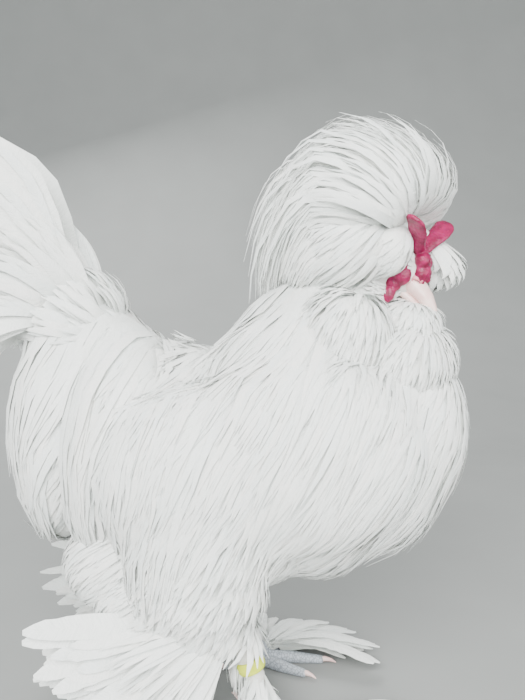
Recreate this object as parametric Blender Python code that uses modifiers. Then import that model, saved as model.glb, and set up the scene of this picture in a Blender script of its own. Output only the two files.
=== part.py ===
"""A sultan cock, life size, standing with its head turned to its right.

The bird faces +X, its left side is +Y and it stands on the floor at Z = 0. Lengths are in metres.
The flesh is made of lofts and ellipsoids, each cut clear of what it grows from. Feathers are flat
blades rooted in the node they grow from and laid in tiers over what is under them.
"""

import math
import random

import bmesh
import bpy
import numpy as np
from mathutils import Matrix, Vector
from mathutils.bvhtree import BVHTree
from mathutils.interpolate import poly_3d_calc

MM = 0.001
GAP = 0.3 * MM  # between nodes that touch
BLADE = 0.8 * MM  # thickness of a feather
LEFT, RIGHT = 1, -1
SIDES = {"left": LEFT, "right": RIGHT}
UP = Vector((0, 0, 1))
FORWARD = Vector((1, 0, 0))

# Where the bird stands and holds its head.
SKULL = Vector((80, -15, 289)) * MM  # middle of the skull
HEAD_TURN = math.radians(35)  # to the bird's right
HEAD_DIP = math.radians(28)  # beak down
LEFT_LEG_BACK = 12 * MM  # the left leg stands a little further back
TAIL_ROOT = Vector((-126, 0, 260)) * MM

TURNED = Matrix.Translation(SKULL) @ Matrix.Rotation(-HEAD_TURN, 4, "Z")
HEAD = TURNED @ Matrix.Rotation(HEAD_DIP, 4, "Y")

# Surfaces of the body under its feathers: x, y, z, half width, half height, in millimetres.
TORSO = [
    (-152, 0, 184, 12, 22),
    (-140, 0, 180, 36, 56),
    (-106, 0, 175, 60, 83),
    (-62, 0, 167, 72, 78),
    (-20, 0, 160, 77, 79),
    (20, 0, 161, 78, 79),
    (60, 0, 171, 75, 77),
    (95, 0, 186, 62, 64),
    (119, 0, 200, 42, 44),
    (131, 0, 206, 14, 16),
]
NECK = [
    (22, 0, 200, 58, 62),
    (30, -2, 226, 50, 58),
    (44, -6, 252, 40, 44),
    (58, -10, 274, 31, 32),
    (68, -12, 288, 25, 23),
]
THIGH = [
    (-34, 38, 138, 37, 50),
    (-36, 43, 122, 40, 52),
    (-38, 47, 98, 32, 44),
    (-36, 47, 82, 23, 34),
    (-32, 47, 72, 13, 20),
]
WING = [
    (72, 60, 196, 5, 12),
    (58, 68, 190, 8, 26),
    (30, 74, 180, 8.5, 32),
    (-5, 75, 171, 8, 30),
    (-45, 70, 162, 6, 24),
    (-74, 62, 156, 4, 16),
]


def clear_scene():
    for old in list(bpy.data.objects):
        bpy.data.objects.remove(old)


def finish(name, colour, roughness):
    """A plain painted surface for one kind of sub-part."""
    made = bpy.data.materials.get(name) or bpy.data.materials.new(name)
    made.use_nodes = True
    shader = made.node_tree.nodes["Principled BSDF"]
    shader.inputs["Base Color"].default_value = (*colour, 1)
    shader.inputs["Roughness"].default_value = roughness
    shader.inputs["Metallic"].default_value = 0
    return made


def plumage():
    return finish("white_plumage", (0.87, 0.88, 0.86), 0.8)


def red_skin():
    return finish("red_skin", (0.62, 0.04, 0.13), 0.55)


def horn():
    return finish("pale_horn", (0.83, 0.66, 0.6), 0.4)


def scales():
    return finish("blue_scale", (0.42, 0.47, 0.52), 0.6)


def brown_eye():
    return finish("brown_eye", (0.25, 0.08, 0.03), 0.1)


def new_object(name, mesh_maker, material):
    """An object in the bird's collection, its mesh closed and facing out."""
    mesh = bpy.data.meshes.new(name)
    shell = bmesh.new()
    mesh_maker(shell)
    bmesh.ops.triangulate(shell, faces=shell.faces)
    bmesh.ops.recalc_face_normals(shell, faces=shell.faces)
    shell.to_mesh(mesh)
    shell.free()
    made = bpy.data.objects.new(name, mesh)
    mesh.materials.append(material)
    bird.objects.link(made)
    return made


def smooth_rows(rows, count):
    """Rows of numbers read evenly from a smooth curve through the given rows."""
    rows = np.array(rows, float)
    gaps = np.linalg.norm(np.diff(rows[:, :3], axis=0), axis=1)
    along = np.concatenate([[0], np.cumsum(gaps)])
    slopes = np.gradient(rows, along, axis=0)
    made = []
    for s in np.linspace(0, along[-1], count):
        i = min(int(np.searchsorted(along, s, side="right")) - 1, len(gaps) - 1)
        h = gaps[i]
        t = (s - along[i]) / h
        made.append(
            (2 * t**3 - 3 * t**2 + 1) * rows[i]
            + (t**3 - 2 * t**2 + t) * h * slopes[i]
            + (3 * t**2 - 2 * t**3) * rows[i + 1]
            + (t**3 - t**2) * h * slopes[i + 1]
        )
    return made


def loft(
    name, stations, material, sides, rings, across=Vector((0, 1, 0)), axis=None, frame=Matrix(), mirror=1
):
    """A closed tube through stations of x, y, z, half width and half height, in millimetres."""
    rows = smooth_rows([(x, y * mirror, z, w, h) for x, y, z, w, h in stations], rings)
    middles = [Vector(row[:3]) * MM for row in rows]

    def make(shell):
        loops = []
        for i, row in enumerate(rows):
            ahead = axis or middles[min(i + 1, rings - 1)] - middles[max(i - 1, 0)]
            wide = (across - across.project(ahead)).normalized() * max(row[3], 0.4) * MM
            high = ahead.cross(wide).normalized() * max(row[4], 0.4) * MM
            turns = [2 * math.pi * k / sides for k in range(sides)]
            loops.append(
                [shell.verts.new(middles[i] + wide * math.cos(a) + high * math.sin(a)) for a in turns]
            )
        for low, high in zip(loops, loops[1:]):
            for k in range(sides):
                n = (k + 1) % sides
                shell.faces.new((low[k], low[n], high[n], high[k]))
        for loop in (loops[0], loops[-1]):
            pole = shell.verts.new(sum((v.co for v in loop), Vector()) / sides)
            for k in range(sides):
                shell.faces.new((loop[k], loop[(k + 1) % sides], pole))
        shell.transform(frame)

    return new_object(name, make, material)


def ball(name, centre, radii, material, frame=Matrix(), segments=16, rings=8):
    """An ellipsoid. Centre and radii are in the given frame."""
    place = frame @ Matrix.Translation(centre) @ Matrix.Diagonal((*radii, 1))

    def make(shell):
        bmesh.ops.create_uvsphere(shell, u_segments=segments, v_segments=rings, radius=1, matrix=place)

    return new_object(name, make, material)


def blade(name, rows, ups, material, thick=BLADE):
    """A closed flat strip. Each row holds the points across its underside, and ups the way its face looks.

    Thick is one number for the strip, or one for each row.

    Both faces are split into triangles alike, so that a curved thin strip doesn't cross itself.
    """

    def make(shell):
        depths = thick if isinstance(thick, list) else [thick] * (len(rows) - 1) + [thick * 0.7]
        grid = []
        for row, up, depth in zip(rows, ups, depths):
            rise = up * depth
            grid.append(
                (
                    [shell.verts.new(p) for p in row],
                    [shell.verts.new(p + rise) for p in row],
                )
            )
        wide = len(rows[0])
        for (low, top), (low_next, top_next) in zip(grid, grid[1:]):
            for k in range(wide - 1):
                for here, there in ((low, low_next), (top, top_next)):
                    shell.faces.new((here[k], here[k + 1], there[k + 1]))
                    shell.faces.new((here[k], there[k + 1], there[k]))
            for k in (0, wide - 1):
                shell.faces.new((low[k], top[k], top_next[k]))
                shell.faces.new((low[k], top_next[k], low_next[k]))
        for low, top in (grid[0], grid[-1]):
            for k in range(wide - 1):
                shell.faces.new((low[k], low[k + 1], top[k + 1]))
                shell.faces.new((low[k], top[k + 1], top[k]))

    return new_object(name, make, material)


HACKLE_SHAPE = (0.4, 0.75, 1.0, 0.76, 0.16)  # narrow feather that runs to a point
CONTOUR_SHAPE = (0.5, 0.95, 1.0, 0.9, 0.38)  # broad feather with a round end


def width_at(shape, t):
    """The share of its full width that a feather of this shape has at t of its length."""
    return float(np.interp(t, np.linspace(0, 1, len(shape)), shape))


def free_blade(name, spine, half_width, shape, material, facing):
    """A feather along its own curve in the air. Facing is the way its upper face looks."""
    rows, ups = [], []
    last = len(spine) - 1
    for i, point in enumerate(spine):
        ahead = (spine[min(i + 1, last)] - spine[max(i - 1, 0)]).normalized()
        side = ahead.cross(facing).normalized()
        up = side.cross(ahead).normalized()
        reach = side * half_width * width_at(shape, i / last)
        rows.append([point - reach, point + reach])
        ups.append(up)
    return blade(name, rows, ups, material)


def joined(base, pieces):
    """The pieces made one with the base in a single Boolean union."""
    group = bpy.data.collections.new("joining")
    bpy.context.scene.collection.children.link(group)
    for piece in pieces:
        bird.objects.unlink(piece)
        group.objects.link(piece)
    union = base.modifiers.new("join", "BOOLEAN")
    union.operation = "UNION"
    union.operand_type = "COLLECTION"
    union.collection = group
    union.solver = "MANIFOLD"
    apply_modifiers(base)
    for piece in list(group.objects):
        bpy.data.objects.remove(piece)
    bpy.data.collections.remove(group)
    keep_largest(base)
    without_slivers(base)
    return base


def apply_modifiers(piece):
    graph = bpy.context.evaluated_depsgraph_get()
    graph.update()
    made = bpy.data.meshes.new_from_object(piece.evaluated_get(graph))
    piece.modifiers.clear()
    piece.data = made


def keep_largest(piece):
    """Leaves the closed surface of a piece that holds the largest volume."""
    shell = bmesh.new()
    shell.from_mesh(piece.data)
    bmesh.ops.triangulate(shell, faces=shell.faces)
    left = set(shell.faces)
    groups = []
    while left:
        front = [left.pop()]
        group = list(front)
        while front:
            for edge in front.pop().edges:
                for face in edge.link_faces:
                    if face in left:
                        left.remove(face)
                        front.append(face)
                        group.append(face)
        groups.append(group)

    def volume(group):
        corners = ([v.co for v in face.verts] for face in group)
        return sum(a.dot(b.cross(c)) for a, b, c in corners)

    largest = max(groups, key=volume)
    for group in groups:
        if group is not largest:
            bmesh.ops.delete(shell, geom=group, context="FACES")
    shell.to_mesh(piece.data)
    shell.free()


def without_slivers(piece):
    """Collapses edges too short to see, as far as the piece stays closed."""
    for shortest in (0.12 * MM, 0.04 * MM):
        shell = bmesh.new()
        shell.from_mesh(piece.data)
        bmesh.ops.dissolve_degenerate(shell, dist=shortest, edges=shell.edges)
        bmesh.ops.triangulate(shell, faces=shell.faces)
        closed = all(len(edge.link_faces) == 2 for edge in shell.edges)
        if closed:
            shell.to_mesh(piece.data)
        shell.free()
        if closed:
            break
    keep_largest(piece)


def swollen(piece, by):
    """A copy of a piece, its surface moved out along its normals."""
    mesh = piece.data.copy()
    shell = bmesh.new()
    shell.from_mesh(mesh)
    shell.normal_update()
    moves = [v.normal * by * min(v.calc_shell_factor(), 1.5) for v in shell.verts]
    for v, move in zip(shell.verts, moves):
        v.co += move
    shell.to_mesh(mesh)
    shell.free()
    made = bpy.data.objects.new("cutter_" + piece.name, mesh)
    cutters.objects.link(made)
    return made


def cut_clear(piece, *others, gap=GAP):
    """Cuts the piece back from the others, so that they meet face to face across the gap."""
    for other in others:
        cutter = swollen(other, gap)
        cut = piece.modifiers.new("cut", "BOOLEAN")
        cut.operation = "DIFFERENCE"
        cut.object = cutter
        cut.solver = "MANIFOLD"
        apply_modifiers(piece)
        bpy.data.objects.remove(cutter)
    keep_largest(piece)
    return piece


class Ground:
    """The smooth surface that a layer of feathers lies on, of several pieces taken as one."""

    def __init__(self, *pieces):
        copies = []
        for piece in pieces:
            copies.append(bpy.data.objects.new("ground_" + piece.name, piece.data.copy()))
            bird.objects.link(copies[-1])
        whole = joined(copies[0], copies[1:])
        mesh = whole.data
        self.points = [v.co.copy() for v in mesh.vertices]
        self.normals = [v.normal.copy() for v in mesh.vertices]
        self.faces = [tuple(f.vertices) for f in mesh.polygons]
        self.tree = BVHTree.FromPolygons(self.points, self.faces)
        bpy.data.objects.remove(whole)

    def nearest(self, point):
        """Foot and outward normal of the surface nearest to a point."""
        foot, flat, index, _ = self.tree.find_nearest(point)
        corners = self.faces[index]
        shares = poly_3d_calc([self.points[c] for c in corners], foot)
        normal = flat * 0.05
        for corner, share in zip(corners, shares):
            normal = normal + self.normals[corner] * share
        return foot, normal.normalized()

    def laid(self, point, height):
        """The point moved to the given height over the surface."""
        foot, normal = self.nearest(point)
        return foot + normal * height


def laid_blade(
    name, ground, root, comb, length, half_width, shape, heights, material, rings=5, sunk=5 * MM, hug=0
):
    """A feather that starts sunk under the ground's surface and lies along it, as the comb vector says.

    Heights are those over the surface at the root, a quarter of the way along, and at the tip. Up to
    the share hug of its length the feather is grown together with what it lies on.
    """
    point = ground.laid(root, heights[0])
    spots = [point]
    normals = [ground.nearest(point)[1]]
    step = length / (rings - 1)
    for i in range(1, rings):
        height = float(np.interp(i / (rings - 1), (0, 0.25, 1), heights))
        flow = (comb - comb.project(normals[-1])).normalized()
        point = ground.laid(point + flow * step, height)
        spots.append(point)
        normals.append(ground.nearest(point)[1])
    rows, ups = [], []
    first = (spots[1] - spots[0]).normalized()
    start = spots[0] - normals[0] * (sunk + heights[0]) - first * 2 * MM
    side = first.cross(normals[0]).normalized() * half_width * shape[0] * 0.8
    rows.append([start - side, start + side])
    ups.append(first * 0.6 + normals[0] * 0.8)
    depths = [BLADE]
    for i, (spot, normal) in enumerate(zip(spots, normals)):
        t = i / (rings - 1)
        ahead = (spots[min(i + 1, rings - 1)] - spots[max(i - 1, 0)]).normalized()
        side = ahead.cross(normal).normalized() * half_width * width_at(shape, t)
        lift = (spot - ground.nearest(spot)[0]).length
        under = -1.5 * MM if t <= hug else lift
        rows.append([ground.laid(spot + s, under) for s in (-side, side)])
        ups.append(normal)
        depths.append(lift - under + BLADE * (0.7 if t == 1 else 1))
    return blade(name, rows, ups, material, depths)


def combed_blade(name, core, shell, root, comb, turn, half_width, shape, lift, fall=0, rings=3):
    """A feather that leaves an ellipsoid core and sweeps round towards an outer shell.

    Core and shell are each a middle and radii in the frame of the turned head. Root is the direction
    in which the feather leaves the core, turn the angle that it sweeps through, lift how far its tip
    stands past the shell, and fall how far one that ends behind and to the side hangs down.
    """
    heading = root.normalized()
    spots, ups = [], []
    for i in range(rings + 1):
        t = i / rings
        share = 1 - (1 - t) ** 3
        inner = core[0] + Vector(0.72 * r * h for r, h in zip(core[1], heading))
        outer = shell[0] + Vector(r * h for r, h in zip(shell[1], heading)) * (1 + lift * t * t)
        hang = UP * fall * t * t * max(0, -heading.x) * abs(heading.y)
        spots.append(TURNED @ (inner * (1 - share) + outer * share - hang))
        facing = Vector(h / r for r, h in zip(shell[1], heading)).normalized()
        ups.append((TURNED.to_3x3() @ facing).normalized())
        way = comb(heading)
        flow = way - way.project(heading)
        if flow.length > 0.05:
            heading = (heading + flow.normalized() * turn / rings).normalized()
    rows = []
    for i, (spot, up) in enumerate(zip(spots, ups)):
        ahead = (spots[min(i + 1, rings)] - spots[max(i - 1, 0)]).normalized()
        side = ahead.cross(up).normalized() * half_width * width_at(shape, i / rings)
        ups[i] = side.cross(ahead).normalized()
        if ups[i].dot(up) < 0:
            ups[i].negate()
        rows.append([spot - side, spot + side])
    return blade(name, rows, ups, plumage())


def spread(count):
    """Directions spread evenly over a sphere."""
    for k in range(count):
        z = 1 - (2 * k + 1) / count
        a = k * math.pi * (3 - math.sqrt(5))
        yield Vector((math.sqrt(1 - z * z) * math.cos(a), math.sqrt(1 - z * z) * math.sin(a), z))


def make_neck_hackle(neck, ground):
    """Long pointed feathers in two tiers, from under the crest down over the shoulders."""
    draws = random.Random(11)
    middles = smooth_rows(NECK, 25)
    pieces = []
    for row, count, reach, length, base in ((15, 9, 132, 106, 0), (19, 3, 44, 90, 4)):
        x, y, z, out_by, _ = middles[row]
        for k in range(count):
            turn = math.radians(180 - reach + 2 * reach * k / (count - 1) + draws.uniform(-2, 2))
            out = Vector((math.cos(turn), math.sin(turn), 0))
            root = Vector((x, y, z)) * MM + out * out_by * MM
            shorter = 1 - 0.42 * max(0, -math.cos(turn)) ** 2 + draws.uniform(-0.04, 0.04)
            low = 2.6 + base + 2 * (k % 2)
            pieces.append(
                laid_blade(
                    f"hackle_{row}_{k}",
                    ground,
                    root,
                    Vector((-0.5, 0.2 * out.y, -1)),
                    length * shorter * MM,
                    16 * MM,
                    HACKLE_SHAPE,
                    (1.5 * MM, low * MM, (low + 8) * MM),
                    plumage(),
                    sunk=3.5 * MM,
                )
            )
    return joined(neck, pieces)


def make_saddle_hackle(torso, ground):
    """Pointed feathers rooted on the rump, hanging far down over its sides."""
    draws = random.Random(23)
    pieces = []
    for aside, count, first, last, length, base in ((42, 3, -64, -116, 108, 0), (16, 3, -50, -100, 136, 4)):
        for side in SIDES.values():
            for k in range(count):
                x = first + (last - first) * k / (count - 1) + draws.uniform(-1, 1)
                low = 1.5 + base + 2 * (k % 2)
                pieces.append(
                    laid_blade(
                        f"saddle_{aside}_{side}_{k}",
                        ground,
                        Vector((x, side * aside, 262)) * MM,
                        Vector((-0.45 + 0.06 * k, side * 0.6, -1)),
                        (length - 7 * k + draws.uniform(-5, 5)) * MM,
                        14 * MM,
                        HACKLE_SHAPE,
                        (1.5 * MM, low * MM, (low + 6) * MM),
                        plumage(),
                    )
                )
    return joined(torso, pieces)


def make_wing(word, core, ground):
    """Folded wing: flight feathers lying under each other, and a tier of coverts over their roots."""
    side = SIDES[word]
    pieces = []
    groups = [
        ("flight", 4, (-44, -20), (180, 150), 74, 11, 1.3, 0.34),
        ("covert", 3, (2, 20), (190, 160), 56, 14, 3.1, 0.67),
    ]
    for label, count, xs, zs, length, half_width, low, hug in groups:
        for k in range(count):
            t = k / (count - 1)
            x = (xs[0] + (xs[1] - xs[0]) * t) * MM
            z = (zs[0] + (zs[1] - zs[0]) * t) * MM
            high = low + 1 * (k % 2)
            pieces.append(
                laid_blade(
                    f"{label}_{word}_{k}",
                    ground,
                    Vector((x, side * 90 * MM, z)),
                    Vector((-1, 0, -0.3)),
                    length * MM,
                    half_width * MM,
                    CONTOUR_SHAPE,
                    (1.4 * MM, high * MM, (high + 0.2) * MM),
                    plumage(),
                    rings=4,
                    sunk=4 * MM,
                    hug=hug,
                )
            )
    return joined(core, pieces)


def make_head(eyes):
    """Skull with the rims of the eyes, in bare and feathered skin."""
    head = ball("head", Vector((0, 0, 0)), Vector((23, 15.5, 17)) * MM, plumage(), HEAD, 16, 9)
    jaw = ball("jaw", Vector((9, 0, -8)) * MM, Vector((13, 10.5, 9)) * MM, plumage(), HEAD, 12, 6)
    lids = [
        ball(
            f"lid_{word}",
            Vector((4.5, side * 13.2, 3.5)) * MM,
            Vector((6.6, 3.4, 5.6)) * MM,
            red_skin(),
            HEAD,
            10,
            5,
        )
        for word, side in SIDES.items()
    ]
    joined(head, [jaw, *lids])
    return cut_clear(head, *eyes)


def make_eye(word):
    centre = Vector((4.5, SIDES[word] * 12.6, 3.5)) * MM
    return ball(f"eye_{word}", centre, Vector((4.8, 4.8, 4.8)) * MM, brown_eye(), HEAD, 10, 6)


def make_wattle(word):
    centre = Vector((11.5, SIDES[word] * 11.5, -15)) * MM
    return ball(f"wattle_{word}", centre, Vector((4.6, 2.4, 6)) * MM, red_skin(), HEAD, 8, 5)


def make_beak(head):
    """Two horny halves that meet along the line of the mouth, nostrils in the upper one."""
    upper = [(13, 0, -4, 7.5, 7), (22, 0, -5.2, 6.4, 5.6), (30, 0, -8.4, 4.7, 4.2), (37, 0, -12.6, 2.8, 2.7)]
    lower = [(11, 0, -11.5, 6.5, 3.6), (20, 0, -12.6, 5.2, 3.2), (28, 0, -14.6, 3.6, 2.3)]
    beak_upper = loft("beak_upper", [*upper, (42, 0, -17, 0.8, 0.8)], horn(), 10, 7, frame=HEAD)
    beak_lower = loft("beak_lower", [*lower, (34.5, 0, -17, 1, 1)], horn(), 8, 5, frame=HEAD)
    for side in SIDES.values():
        place = Vector((24, side * 5.6, -4)) * MM
        radii = Vector((2.6, 1.8, 1.1)) * MM
        nostril = ball("cutter_nostril", place, radii, horn(), HEAD, 8, 6)
        cut_clear(beak_upper, nostril, gap=0)
        bpy.data.objects.remove(nostril)
    cut_clear(beak_upper, head)
    cut_clear(beak_lower, head, beak_upper)
    return beak_upper, beak_lower


def make_comb(head, beak_upper):
    """The V-shaped comb: a knobbly ridge over the beak that forks into two flat horns."""
    ridge = [(8, 0, 17, 4, 4), (12, 0, 15.5, 4, 4.5), (17, 0, 9, 5.2, 5.5), (20, 0, 3, 5.6, 5)]
    comb = loft("comb", [*ridge, (21, 0, -1, 3.5, 3)], red_skin(), 12, 9, frame=HEAD)
    prong = [(12, 0, 12, 3.6, 2.6), (12.5, 9, 20, 4, 2.2), (13.5, 19, 29, 4.6, 2.2)]
    horns = [
        loft(
            f"horn_{word}",
            [*prong, (14, 28, 36.5, 2.4, 1.4)],
            red_skin(),
            8,
            5,
            across=FORWARD,
            frame=HEAD,
            mirror=side,
        )
        for word, side in SIDES.items()
    ]
    knobs = [
        ball(f"knob_{k}", Vector(at) * MM, Vector((r, r, r)) * MM, red_skin(), HEAD, 8, 5)
        for k, (at, r) in enumerate([((19, 3, 7), 4.8), ((18, -3.4, 10), 4.4), ((22, -3, 1), 3.8)])
    ]
    joined(comb, horns + knobs)
    return cut_clear(comb, head, beak_upper)


def crest_comb(heading):
    """The way crest feathers lie: back from over the comb, and down behind the head and on its sides."""
    return Vector((-1, 0, 0.2 - 1.2 * max(0, 0.3 - heading.x)))


def make_crest(over):
    """A globe of feathers swept back from the comb, on a core over the skull."""
    core = (Vector((-14, 0, 32)) * MM, Vector((32, 29, 24)) * MM)
    shell = (Vector((-26, 0, 42)) * MM, Vector((70, 60, 53)) * MM)
    draws = random.Random(5)
    crest = ball("crest", *core, plumage(), TURNED, 14, 8)
    pole = Vector((1, 0, -0.3)).normalized()
    across = Vector((0, 1, 0))
    high = pole.cross(across).normalized()
    pieces = []
    tiers = [(22, 4, 142, 60), (54, 6, 122, 58), (88, 6, 112, 48), (118, 4, 84, 36)]
    for polar, count, reach, turn in tiers:
        for k in range(count):
            around = math.radians(-reach + 2 * reach * k / (count - 1) + draws.uniform(-3, 3))
            tilt = math.radians(polar + draws.uniform(-4, 4))
            aside = high * math.cos(around) + across * math.sin(around)
            pieces.append(
                combed_blade(
                    f"crest_{polar}_{k}",
                    core,
                    shell,
                    pole * math.cos(tilt) + aside * math.sin(tilt),
                    crest_comb,
                    math.radians(turn + draws.uniform(-6, 6)),
                    (18 + draws.uniform(-1, 1)) * MM,
                    CONTOUR_SHAPE,
                    0.07 * (k % 2) + draws.uniform(-0.03, 0.03),
                    fall=46 * MM,
                )
            )
    joined(crest, pieces)
    return cut_clear(crest, *over)


def beard_comb(heading):
    """The way the beard lies: down, and a little back."""
    return Vector((-0.35, 0, -1))


def make_beard(over):
    """Beard under the beak and a muff on each cheek, grown together."""
    lobes = [
        (Vector((22, 0, -50)), Vector((17, 19, 15)), Vector((24, 0, -57)), Vector((30, 36, 27)), 5),
        (Vector((-8, 26, -38)), Vector((17, 15, 17)), Vector((-12, 32, -44)), Vector((32, 27, 32)), 5),
        (Vector((-8, -26, -38)), Vector((17, 15, 17)), Vector((-12, -32, -44)), Vector((32, 27, 32)), 5),
    ]
    draws = random.Random(31)
    cores, pieces = [], []
    for n, (middle, radii, shell_middle, shell_radii, count) in enumerate(lobes):
        cores.append(ball(f"lobe_{n}", middle * MM, radii * MM, plumage(), TURNED, 12, 6))
        for k, root in enumerate(spread(count)):
            pieces.append(
                combed_blade(
                    f"lock_{n}_{k}",
                    (middle * MM, radii * MM),
                    (shell_middle * MM, shell_radii * MM),
                    (root + Vector((0.35, 0, 0.35))).normalized(),
                    beard_comb,
                    math.radians(58 + draws.uniform(-8, 8)),
                    15 * MM,
                    CONTOUR_SHAPE,
                    draws.uniform(-0.05, 0.1),
                )
            )
    beard = joined(cores[0], cores[1:] + pieces)
    beard.name = "beard"
    return cut_clear(beard, *over)


def make_tail(over):
    """Tail: main feathers fanned on each side, with sickles and coverts curving over them."""
    tail = loft(
        "tail",
        [(-102, 0, 232, 28, 25), (-122, 0, 252, 24, 21), (-139, 0, 269, 16, 14), (-151, 0, 281, 6, 6)],
        plumage(),
        14,
        6,
    )
    cut_clear(tail, *over)
    pieces = []
    for side in SIDES.values():
        for k in range(5):
            angle = math.radians(112 + 12 * k)
            way = Vector((math.cos(angle), side * (0.012 + 0.018 * k), math.sin(angle))).normalized()
            root = TAIL_ROOT + Vector((-2.4 * k, side * (1.6 + 1.6 * k), -2.6 * k)) * MM
            length = (132 - 6 * k) * MM
            back = Vector((-0.11, 0, -0.08)) * length
            spine = [root + way * length * t + back * t * t for t in (0, 0.4, 0.8, 1)]
            facing = Vector((0.1, side * 0.99, 0.12))
            pieces.append(
                free_blade(f"rectrix_{side}_{k}", spine, 15 * MM, CONTOUR_SHAPE, plumage(), facing)
            )
        for label, half_width, points in TAIL_CURVES:
            rows = smooth_rows([(x, side * y, z) for x, y, z in points], len(points))
            spine = [Vector(row) * MM for row in rows]
            facing = Vector((0, side, 0.1))
            pieces.append(
                free_blade(f"{label}_{side}", spine, half_width * MM, HACKLE_SHAPE, plumage(), facing)
            )
    return joined(tail, pieces)


SICKLE = [
    (-124, 9, 262),
    (-130, 13, 304),
    (-148, 18, 346),
    (-190, 23, 368),
    (-236, 26, 350),
    (-272, 27, 296),
]
TAIL_CURVES = [
    ("sickle_0", 11, SICKLE),
    ("sickle_1", 12, [(-128, 12, 262), (-144, 20, 294), (-174, 27, 320), (-212, 32, 322), (-250, 35, 288)]),
    ("covert_0", 12, [(-112, 10, 256), (-112, 16, 280), (-119, 21, 302), (-132, 25, 322)]),
    ("covert_1", 12, [(-120, 14, 258), (-130, 26, 276), (-150, 35, 290), (-174, 41, 296)]),
    ("covert_2", 12, [(-126, 16, 256), (-142, 30, 264), (-162, 40, 266), (-188, 46, 256)]),
    ("covert_3", 12, [(-132, 17, 256), (-148, 31, 252), (-164, 39, 240), (-180, 44, 218)]),
]


def leg_shift(side):
    return Vector((-LEFT_LEG_BACK if side == LEFT else 0, 0, 0))


def placed(point, side):
    """A point given in millimetres for the right way round of a leg, on the given side."""
    return Vector((point[0], side * point[1], point[2])) * MM + leg_shift(side)


def make_thigh(word):
    side = SIDES[word]
    frame = Matrix.Translation(leg_shift(side))
    return loft(f"thigh_{word}", THIGH, plumage(), 16, 7, frame=frame, mirror=side)


def make_hock(word, over):
    """The joint with its stiff vulture hocks: long feathers that point backwards."""
    side = SIDES[word]
    frame = Matrix.Translation(leg_shift(side))
    rows = [(-33, 47, 84, 17, 24), (-29, 47, 71, 15, 19), (-22, 47, 62, 11, 13), (-16, 47, 57, 7.5, 8)]
    hock = loft(f"hock_{word}", rows, plumage(), 12, 5, frame=frame, mirror=side)
    pieces = []
    for tier, (count, length, aside) in enumerate([(4, 100, 4), (2, 82, 10)]):
        for k in range(count):
            drop = math.radians(1 + 12 * k + 6 * tier)
            out = math.radians(3 + 3 * k + 5 * tier)
            way = Vector((-math.cos(drop) * math.cos(out), side * math.sin(out), -math.sin(drop)))
            root = placed((-36 + 3 * k, 47 + aside - 4 + 1.2 * k, 76 - 4.5 * k - 2 * tier), side)
            reach = (length - 11 * k) * MM
            spine = [root + way * reach * t + Vector((0, 0, -8 * MM)) * t * t for t in (0, 0.3, 0.65, 1)]
            facing = Vector((0, side, 0.5))
            pieces.append(
                free_blade(f"vulture_{word}_{tier}_{k}", spine, 12 * MM, CONTOUR_SHAPE, plumage(), facing)
            )
    return cut_clear(joined(hock, pieces), *over)


def make_shank(word, over):
    """Feathered shank: its outer side carries feathers that hang over the foot."""
    side = SIDES[word]
    frame = Matrix.Translation(leg_shift(side))
    rows = [(-17, 47, 72, 6.5, 7), (-10, 47, 56, 6.5, 7), (-1, 47, 33, 7, 7.5), (4, 47, 15, 8, 8.5)]
    shank = loft(f"shank_{word}", rows, plumage(), 10, 4, frame=frame, mirror=side)
    pieces = []
    for tier, (count, x, z, length) in enumerate([(3, -5, 42, 40), (2, 1, 26, 36)]):
        for k in range(count):
            turn = math.radians(-35 + 190 * k / (count - 1))
            out = Vector((math.cos(turn), side * math.sin(turn), 0))
            root = placed((x, 47, z), side)
            fall = min(length * 0.9, z - 19 - 3 * (k % 2))
            aside = math.sqrt(length**2 - fall**2)
            spine = []
            for t in (0, 0.25, 0.6, 1):
                away = out * (3 + (aside + 2 * (k % 2)) * t**0.9) * MM
                spine.append(root + away + Vector((0, 0, -fall * t * (1.25 - 0.25 * t))) * MM)
            facing = out + UP * 0.4
            pieces.append(
                free_blade(f"shank_feather_{tier}_{k}", spine, 10 * MM, CONTOUR_SHAPE, plumage(), facing)
            )
    return cut_clear(joined(shank, pieces), *over)


TOES = {
    "inner": [(4, -3, 4.2, 4.6, 4.6), (20, -13, 3.7, 4.2, 4.2), (36, -21, 2.5, 3, 3)],
    "middle": [(5, 0, 4.4, 5, 4.8), (26, 0, 3.9, 4.4, 4.4), (50, -2, 2.6, 3.1, 3.1)],
    "outer": [(4, 3, 4.2, 4.6, 4.6), (19, 15, 3.7, 4.2, 4.2), (35, 25, 2.5, 3, 3)],
    "hind": [(-2, -3, 3.8, 4.2, 4.2), (-13, -8, 2.9, 3.4, 3.4), (-21, -11, 2.1, 2.6, 2.6)],
    "fifth": [(-2, -5, 11, 3.6, 3.6), (-11, -12, 12.5, 3, 3), (-19, -17, 16, 2.3, 2.3)],
}
CLAW_LENGTH = {"inner": 11, "middle": 12, "outer": 11, "hind": 9, "fifth": 8}


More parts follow.
